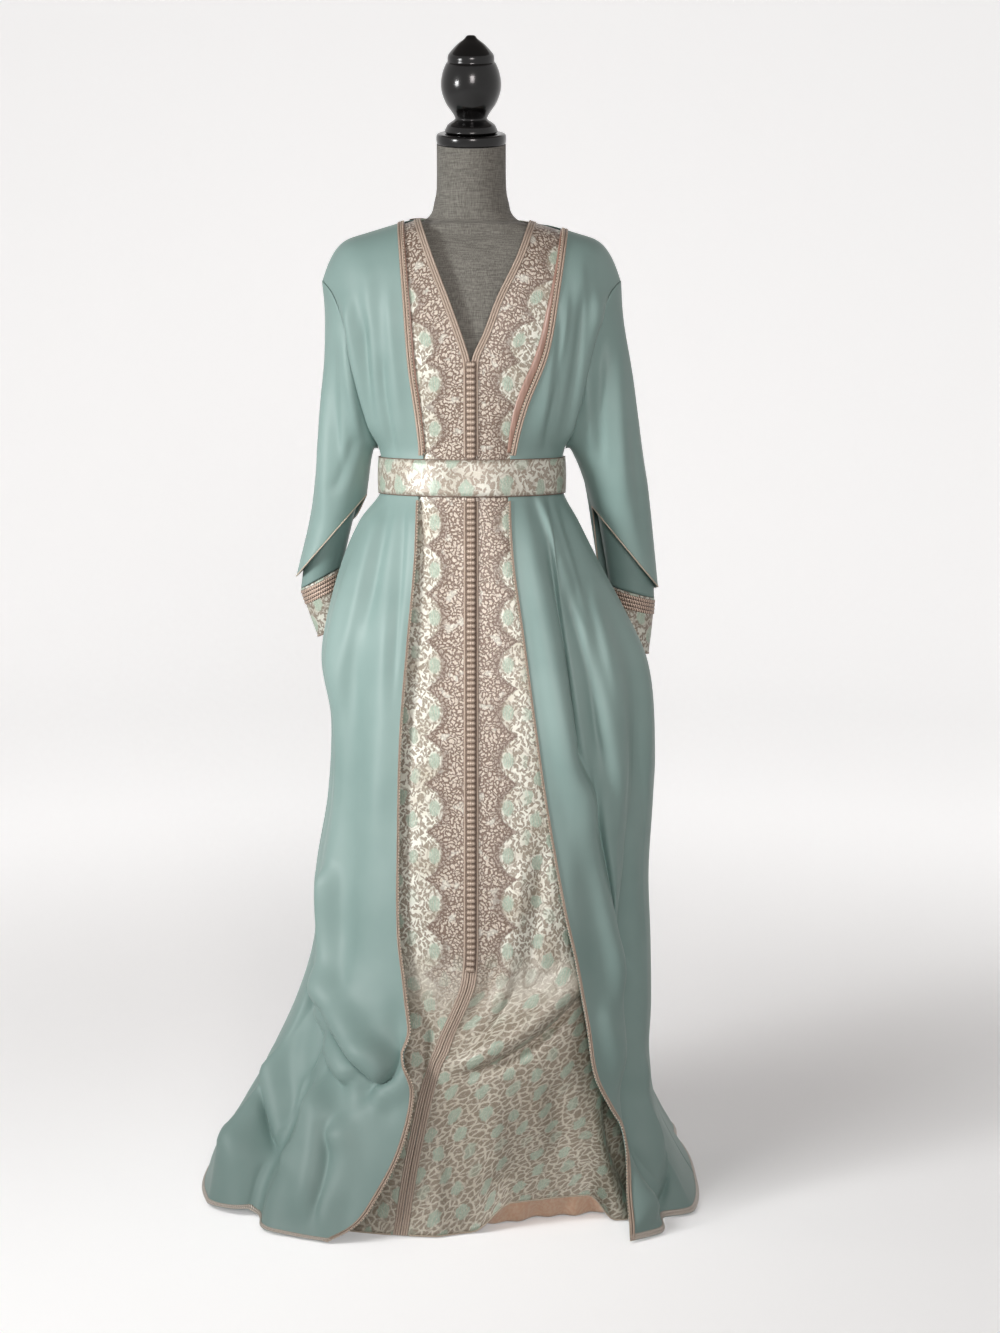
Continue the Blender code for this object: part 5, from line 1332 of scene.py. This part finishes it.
def ring_band(name, points, start, profile, finish):
    """A braid round a closed grid: its profile runs down the cloth from `start` below the top edge."""
    spans = running_length(points, 0)
    _, normals = creased(points, ())
    grid = []
    for down, height in profile:
        at = np.stack([[np.interp(start + down, spans[:, c], points[:, c, k]) for k in range(3)]
                       for c in range(points.shape[1])])
        out = np.stack([[np.interp(start + down, spans[:, c], normals[:, c, k]) for k in range(3)]
                        for c in range(points.shape[1])])
        grid.append(at + out * (height + 0.0004))
    grid = np.array(grid)
    closed = np.concatenate([grid, grid[:, :1]], axis=1)
    uv = np.stack(np.broadcast_arrays(np.array(profile)[:, None, 0], running_length(closed, 1)), -1)
    return grid_piece(name, grid, finish, {"edge": uv, "grain": uv}, closed=True,
                      centre=grid.reshape(-1, 3).mean(axis=0))


for word in ("left", "right"):
    ring = sleeves["over", word][-1]
    closed_cord("robe_sleeve_cord_" + word, ring, 0.0011, pale_cord)
    cuff = sleeves["cuff", word]
    band = ring_band("dress_cuff_sfifa_" + word, cuff, 0.003, cords(CUFF_SFIFA, 4, 0.0016), cuff_braid)
    rim = closed_cord("dress_cuff_cord_" + word, cuff[-1], 0.0012, rose_cord)


# Trims on the front edges, split where the belt passes over them
trims = {"robe_left": [], "robe_right": [], "dress_left": [], "dress_right": [], "robe_back": []}
BRAID_NARROW_Z = 0.62
ROBE_BRAID = cords(BRAID_WIDTH - 0.0010, 2, 0.0020)
SFIFA = cords(SFIFA_WIDTH - 0.0010, 3, 0.0017)
for word, column, inner in (("left", -1, -3), ("right", 0, 2)):
    for kind, panels, profile, finish in (
            ("robe", robe, ROBE_BRAID, rose_braid), ("dress", dress, SFIFA, gown_cord)):
        points, normals = panels[word]
        path, inward, normal = edge_frame(points, normals, column, inner)
        for part, chosen in (("bodice", BELT_TOP_ROWS), ("skirt", BELT_LOW_ROWS)):
            spot = path[chosen]
            # below the belt the robe's braid starts as one thin cord and widens towards the hem
            share = smooth((BRAID_NARROW_Z - spot[:, 2]) / BRAID_NARROW_Z)
            widths = 0.40 + 0.60 * share if (kind, part) == ("robe", "skirt") else 1.0
            piece = ribbon(f"{kind}_braid_{part}_{word}", spot, inward[chosen], normal[chosen], profile, finish,
                           0.0002, widths)
            trims[f"{kind}_{word}"].append(piece)
            if kind == "robe":
                at, out = evenly(spot - inward[chosen] * 0.0004 + normal[chosen] * 0.0010, PICOT_PITCH, normal[chosen])
                into = unit(np.cross(np.gradient(at, axis=0), out))
                bead, faces = ball(4, 6, (0.0011, 0.0015, 0.0011))
                trims["robe_" + word].append(copies(f"robe_picots_{part}_{word}", at, into,
                                                    unit(np.gradient(at, axis=0)), out, bead, faces, pale_cord))


def hem_ribbon(name, points, normals, width, profile, finish, lift):
    """A trim along a panel's hem, on its last rows, its profile running up from the hem."""
    spans = running_length(points[::-1], 0)
    path = points[-1]
    above = np.stack([[np.interp(width, spans[:, c], points[::-1][:, c, k]) for k in range(3)]
                      for c in range(points.shape[1])])
    up = unit(above - path)
    along = unit(np.gradient(path, axis=0))
    normal = unit(np.cross(along, up))
    normal = normal * np.sign((normal * normals[-1]).sum(-1, keepdims=True))
    return ribbon(name, path + up * 0.0006, up, normal, profile, finish, lift)


HEM_BRAID = cords(BRAID_WIDTH, 2, 0.0016)
for word in ("left", "right"):
    points, normals = dress[word]
    path = points[-1, 2:-2] + np.array([0.0, 0.0, 0.0006])
    trims["dress_" + word].append(
        open_cord("dress_hem_piping_" + word, path, normals[-1, 2:-2], 0.0012, pale_cord))
for word in ("left", "right", "back"):
    points, normals = robe[word]
    trims["robe_" + word].append(
        hem_ribbon("robe_hem_braid_" + word, points, normals, BRAID_WIDTH, HEM_BRAID, hem_rope, 0.0002))


def neck_ribbon():
    """The braid round the back of the over-robe's neck, on the back panel's top rows."""
    points, normals = robe["back"]
    keep = np.abs(points[0, :, 0]) < NECK_BRAID_REACH
    chosen = points[:, keep]
    spans = running_length(chosen, 0)
    below = np.stack([[np.interp(BRAID_WIDTH, spans[:, c], chosen[:, c, k]) for k in range(3)]
                      for c in range(chosen.shape[1])])
    path = chosen[0]
    down = unit(below - path)
    along = unit(np.gradient(path, axis=0))
    normal = unit(np.cross(along, down))
    normal = normal * np.sign((normal * normals[4, keep]).sum(-1, keepdims=True))
    return ribbon("robe_neck_braid", path + down * TRIM_MARGIN, down, normal, ROBE_BRAID, rose_braid, 0.0003)


trims["robe_back"].append(neck_ribbon())


# Satin facings that show beside the robe's front braids, from the shoulder to the belt
def facing(word, column, inner, widths):
    points, normals = robe[word]
    path, inward, normal = edge_frame(points, normals, column, inner)
    chosen = ROWS < WAIST_ROW - 0.6
    path, inward, normal = path[chosen], inward[chosen], normal[chosen]
    width = table_at(EDGE_COLUMNS, widths, path[:, 2])["x"] * (0.6 if word == "left" else 0.9)
    steps = np.linspace(0.0, 1.0, 5)
    curl = np.sin(steps * math.pi) * 0.0008
    strip = path[:, None] - inward[:, None] * (0.0002 + width[:, None, None] * steps[None, :, None])
    strip = strip + normal[:, None] * (curl - 0.0006 - 0.0006 * steps)[None, :, None]
    across = running_length(strip, 1)
    uv = np.stack([across, running_length(strip, 0)], -1)
    return grid_piece("robe_facing_" + word, strip, rose_silk, {"grain": uv, "edge": uv}, wall=0.0006,
                      centre=BODY_CENTRE)


for word, column, inner, widths in (("left", -1, -3, FACING_LEFT), ("right", 0, 2, FACING_RIGHT)):
    cloth["facing_" + word] = facing(word, column, inner, widths)
    trims["robe_" + word].append(cloth["facing_" + word])


# Peach lining that shows below the tucked hem of the under-dress
def lining():
    points, _ = dress["right"]
    hem = points[-1]
    x = np.linspace(LINING_LEFT_X - 0.004, LINING_RIGHT_X, 72)
    top = np.stack([np.interp(x, hem[:, 0], hem[:, k]) for k in range(3)], -1)
    top = top + np.array([0.0, 0.0022, LINING_OVERLAP])
    share = np.linspace(0.0, 1.0, 14)[None, :, None]
    low = np.stack([x, top[:, 1] + LINING_BACK - 0.003, HEM_CLEAR + 0.0 * x], -1)
    grid = top[:, None] * (1 - share) + low[:, None] * share
    waves = 0.0040 * np.sin(x * 150.0) + 0.0035 * np.sin(x * 67.0 + 1.0)
    grid[..., 1] += waves[:, None] * np.sin(share[..., 0] * math.pi * 0.5)
    grid = grid.transpose(1, 0, 2)
    uv = np.stack([running_length(grid, 1), -running_length(grid, 0)], -1)
    return grid_piece("dress_lining_front", grid, peach_silk, {"grain": uv, "edge": uv}, wall=0.0008,
                      centre=(0.1, 0.1, 0.0)), grid


cloth["lining"], lining_grid = lining()


# Aakad knot buttons: hand-tied two-lobed knots in a close row, on a narrow dark strip that is painted shadow for the
# dark gaps beside the knots
def closure_path():
    left, _ = dress["left"]
    right, _ = dress["right"]
    path = 0.5 * (left[:, -1] + right[:, 0])
    path = path[np.argsort(-path[:, 2])]
    return path


def knots():
    path = closure_path()
    heights = path[:, 2]
    made = []
    for word, top_z, low_z in (("bodice", CLOSURE_TOP_Z, WAIST_Z + 0.004),
                               ("skirt", BELT_LOW_Z - 0.004, CLOSURE_LOW_Z)):
        chosen = path[(heights <= top_z + 0.004) & (heights >= low_z - 0.004)]
        down = unit(np.gradient(chosen, axis=0))
        side = np.array([1.0, 0.0, 0.0])
        front = unit(np.cross(down, side))
        across = unit(np.cross(front, down))
        at, down_at, front_at, across_at = evenly(chosen, KNOT_PITCH, down, front, across)
        lobes = []
        faces = []
        for x, size in ((-0.0028, (0.0036, 0.0034, 0.0030)), (0.0028, (0.0036, 0.0034, 0.0030)),
                        (0.0, (0.0022, 0.0040, 0.0034))):
            points, quads = ball(7, 10, size, (x, 0.0, 0.0))
            faces += [quad + sum(len(lobe) for lobe in lobes) for quad in quads]
            lobes.append(points)
        lift = TRIM_WALL + 2.0 * TRIM_GAP + 0.0022
        made.append(copies(f"knots_{word}", at + front_at * lift, across_at, down_at, front_at,
                           np.concatenate(lobes), faces, knot_silk))
        tie, quads = ball(5, 8, (0.0075, 0.0010, 0.0014))
        between = at + down_at * (0.5 * KNOT_PITCH) + front_at * (lift - 0.0014)
        made.append(copies(f"knot_ties_{word}", between, across_at, down_at, front_at, tie, quads, dark_braid_and_shadow))
        # a narrow dark strip under the knots, wider than they are: painted shadow for the dark gaps at the knots' sides
        profile = np.array([(-0.0072, 0.0), (-0.0064, 0.0010), (0.0, 0.0013), (0.0064, 0.0010), (0.0072, 0.0)])
        made.append(ribbon(f"knot_shadow_strip_{word}", chosen, across, front, profile, dark_braid_and_shadow, 0.0016))
    return made


knot_silk = braid("cream and rose knotted silk cord", "#7d6858", "#d0bfae", 0.0042, 0.35)
knots()


# Dress form
def make_form():
    rings = [list(row) for row in FORM]
    for x in (0.150, 0.125, 0.100):
        rings.append([shoulder_height(np.array(x)) - FORM_TOUCH, x, 0.064 + 0.02 * (0.15 - x), 0.043, 0.0])
    rings += [list(row) for row in NECK]
    rings = np.array(rings, dtype=float)
    values = dict(zip(FORM_COLUMNS, rings.T))
    turns = np.radians(np.linspace(0.0, 360.0, 65)[:-1])
    depth = np.where(np.cos(turns)[None] > 0, values["front"][:, None], values["back"][:, None])
    x = values["half_width"][:, None] * np.sin(turns)[None]
    y = -depth * np.cos(turns)[None] - values["shift"][:, None]
    tilt = NECK_TILT * smooth((values["z"] - NECK[0][0]) / (NECK[-1][0] - NECK[0][0]))[:, None]
    z = values["z"][:, None] + y * np.tan(tilt)
    points = np.stack([x, y, z], -1)
    points = np.concatenate([points[:4], smooth_rings(points[4:], 3)[1:]])
    uv = np.zeros(points.shape[:1] + (65, 2))
    piece = grid_piece("form_padded", points, grey_linen, {"grain": uv}, closed=True, centre=(0.0, 0.0, 0.0))
    rows = points.shape[0]
    lid = bpy.data.meshes.new("form_ends")
    ends = np.concatenate([points[0], points[-1]])
    lid.from_pydata(ends.tolist(), [], [tuple(range(64)), tuple(range(64, 128))])
    lid.materials.append(grey_linen)
    caps = bpy.data.objects.new("form_ends", lid)
    bpy.context.scene.collection.objects.link(caps)
    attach(caps, "root")
    return [piece, caps]


form = make_form()
lean = Matrix.Rotation(NECK_TILT, 4, "X")
neck_top = Vector((0.0, NECK_TOP_Y, NECK[-1][0] + NECK_TOP_Y * math.tan(NECK_TILT)))
up = lean @ Vector((0.0, 0.0, 1.0))
cap = turned("neck_cap_lacquered", eased((
    (0.0, CAP_THICK), (0.0400, CAP_THICK), (0.0490, CAP_THICK - 0.0008), (CAP_RADIUS, CAP_THICK - 0.004),
    (CAP_RADIUS, 0.0040), (0.0495, 0.0006), (0.0400, 0.0), (0.0, 0.0)), 4), 72, black_gloss)
cap.matrix_world = Matrix.Translation(neck_top + up * 0.0003) @ lean
finial = turned("finial_turned", eased([(max(radius, 0.0), height) for radius, height in FINIAL], 4), 72, black_gloss)
finial.matrix_world = Matrix.Translation(neck_top + up * (CAP_THICK + 0.0006)) @ lean
pole = turned("stand_pole_round", ((0.0, FORM[0][0] - 0.0003), (POLE_RADIUS, FORM[0][0] - 0.0003),
                                   (POLE_RADIUS, BASE_HEIGHT + 0.0003), (0.0, BASE_HEIGHT + 0.0003)), 40, black_steel)
pole.location = (0.0, STAND_Y, 0.0)
base = turned("stand_base_disc", (
    (0.0, BASE_HEIGHT), (BASE_RADIUS - 0.016, BASE_HEIGHT), (BASE_RADIUS - 0.008, BASE_HEIGHT - 0.002),
    (BASE_RADIUS - 0.002, BASE_HEIGHT - 0.007), (BASE_RADIUS, 0.006), (BASE_RADIUS, 0.0), (0.0, 0.0)), 96, black_steel)
base.location = (0.0, STAND_Y, 0.0)


# What stands for which solid; those solids are hidden
STANDS_FOR = {
    "robe_left": "over_front_left", "robe_right": "over_front_right", "robe_back": "over_back",
    "dress_left": "under_front_left", "dress_right": "under_front_right", "dress_back": "under_back",
    "over_sleeve_left": "over_sleeve_left", "over_sleeve_right": "over_sleeve_right",
    "under_sleeve_left": "under_sleeve_left", "under_sleeve_right": "under_sleeve_right",
    "cuff_sleeve_left": "under_cuff_left", "cuff_sleeve_right": "under_cuff_right", "belt": "belt",
    "facing_left": "over_facing_left", "facing_right": "over_facing_right", "lining": "under_lining_front",
}
for name, node in STANDS_FOR.items():
    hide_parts(node)
for word in ("left", "right"):
    for part in ("bodice", "skirt"):
        for kind, node in (("robe", "over_braid"), ("dress", "under_sfifa")):
            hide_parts(f"{node}_{part}_{word}")
    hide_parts("over_hem_braid_front_" + word)
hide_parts("over_hem_braid_back")
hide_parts("over_neck_braid")
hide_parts("under_knots_bodice")
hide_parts("under_knots_skirt")
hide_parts("form_torso")
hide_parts("neck_cap")
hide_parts("finial")
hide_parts("stand_pole")
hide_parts("stand_base")


# Camera at the photo's angle
IMAGE_HEIGHT = 1333
view = bpy.data.cameras.new("camera")
view.sensor_fit = "VERTICAL"
view.sensor_height = 36.0
view.lens = 2377.0 / IMAGE_HEIGHT * 36.0
view.clip_end = 60.0
camera = bpy.data.objects.new("camera", view)
camera.location = (0.0424, -3.6, 1.3)
camera.rotation_euler = (math.radians(90.0 - 7.67), 0.0, 0.0)
bpy.context.scene.collection.objects.link(camera)
bpy.context.scene.camera = camera


# Pale round studio floor that turns up into a wall. It glows a little, as a lit paper sweep does,
# and throws no light back on the cloth.
def studio_floor():
    profile = [(0.0, 0.0), (2.5, 0.0), (5.0, 0.0)]
    for turn in range(10, 91, 10):
        angle = math.radians(turn)
        profile.append((5.0 + 2.0 * math.sin(angle), 2.0 - 2.0 * math.cos(angle)))
    profile.append((7.0, 7.0))
    turns = np.radians(np.arange(0.0, 360.0, 5.0))
    points = [(radius * math.cos(turn), radius * math.sin(turn), z - 0.0002) for radius, z in profile[1:]
              for turn in turns]
    wide = len(turns)
    faces = [tuple(range(wide))]
    for r in range(len(profile) - 2):
        for c in range(wide):
            a = r * wide + c
            b = r * wide + (c + 1) % wide
            faces.append((a, a + wide, b + wide, b))
    mesh = bpy.data.meshes.new("studio_floor")
    mesh.from_pydata(points, [], faces)
    mesh.shade_smooth()
    finish, tree, shader = new_material("pale matt studio paper", Roughness=0.9, Specular_IOR_Level=0.0)
    shader.inputs["Base Color"].default_value = colour("#dcdcdc")
    shader.inputs["Emission Color"].default_value = (1.0, 1.0, 1.0, 1.0)
    away = add(tree, "VectorMath", {0: add(tree, "TexCoord").outputs["Object"]}, operation="LENGTH").outputs["Value"]
    glow = add(tree, "MapRange", {0: away, 1: GLOW_NEAR, 2: GLOW_FAR, 3: FLOOR_GLOW, 4: WALL_GLOW},
               interpolation_type="SMOOTHSTEP")
    tree.links.new(glow.outputs[0], shader.inputs["Emission Strength"])
    mesh.materials.append(finish)
    floor = bpy.data.objects.new("studio_floor", mesh)
    floor.visible_diffuse = False
    bpy.context.scene.collection.objects.link(floor)


# The glow rises from FLOOR_GLOW at GLOW_NEAR metres from the centre to WALL_GLOW at GLOW_FAR
FLOOR_GLOW = 0.24
WALL_GLOW = 0.67
GLOW_NEAR = 0.5
GLOW_FAR = 3.3
studio_floor()


def lamp(name, place, target, size, power, spread, tint=(1.0, 1.0, 1.0)):
    light = bpy.data.lights.new(name, "AREA")
    light.shape = "RECTANGLE"
    light.size, light.size_y = size
    light.energy = power
    light.spread = math.radians(spread)
    light.color = tint
    made = bpy.data.objects.new(name, light)
    made.location = place
    made.rotation_euler = (Vector(target) - Vector(place)).to_track_quat("-Z", "Y").to_euler()
    bpy.context.scene.collection.objects.link(made)
    return made


lamp("key", (-2.9, -2.1, 1.45), (0.0, 0.0, 0.92), (0.8, 0.8), 6.9, 44.0)
lamp("front_fill", (0.4, -4.2, 2.0), (0.0, 0.0, 1.10), (1.1, 1.1), 5.6, 46.0, (1.0, 0.93, 0.92))

wash = lamp("floor_wash", (-1.7, -1.5, 2.8), (0.15, 0.25, 0.0), (1.5, 1.5), 62.0, 160.0)
lit = bpy.data.collections.new("lit_by_floor_wash")
lit.objects.link(bpy.data.objects["studio_floor"])
wash.light_linking.receiver_collection = lit

world = bpy.data.worlds.new("studio")
world.use_nodes = True
world.node_tree.nodes["Background"].inputs["Color"].default_value = colour("#fff5f0")
world.node_tree.nodes["Background"].inputs["Strength"].default_value = 0.22
bpy.context.scene.world = world
bpy.context.scene.view_settings.view_transform = "Standard"
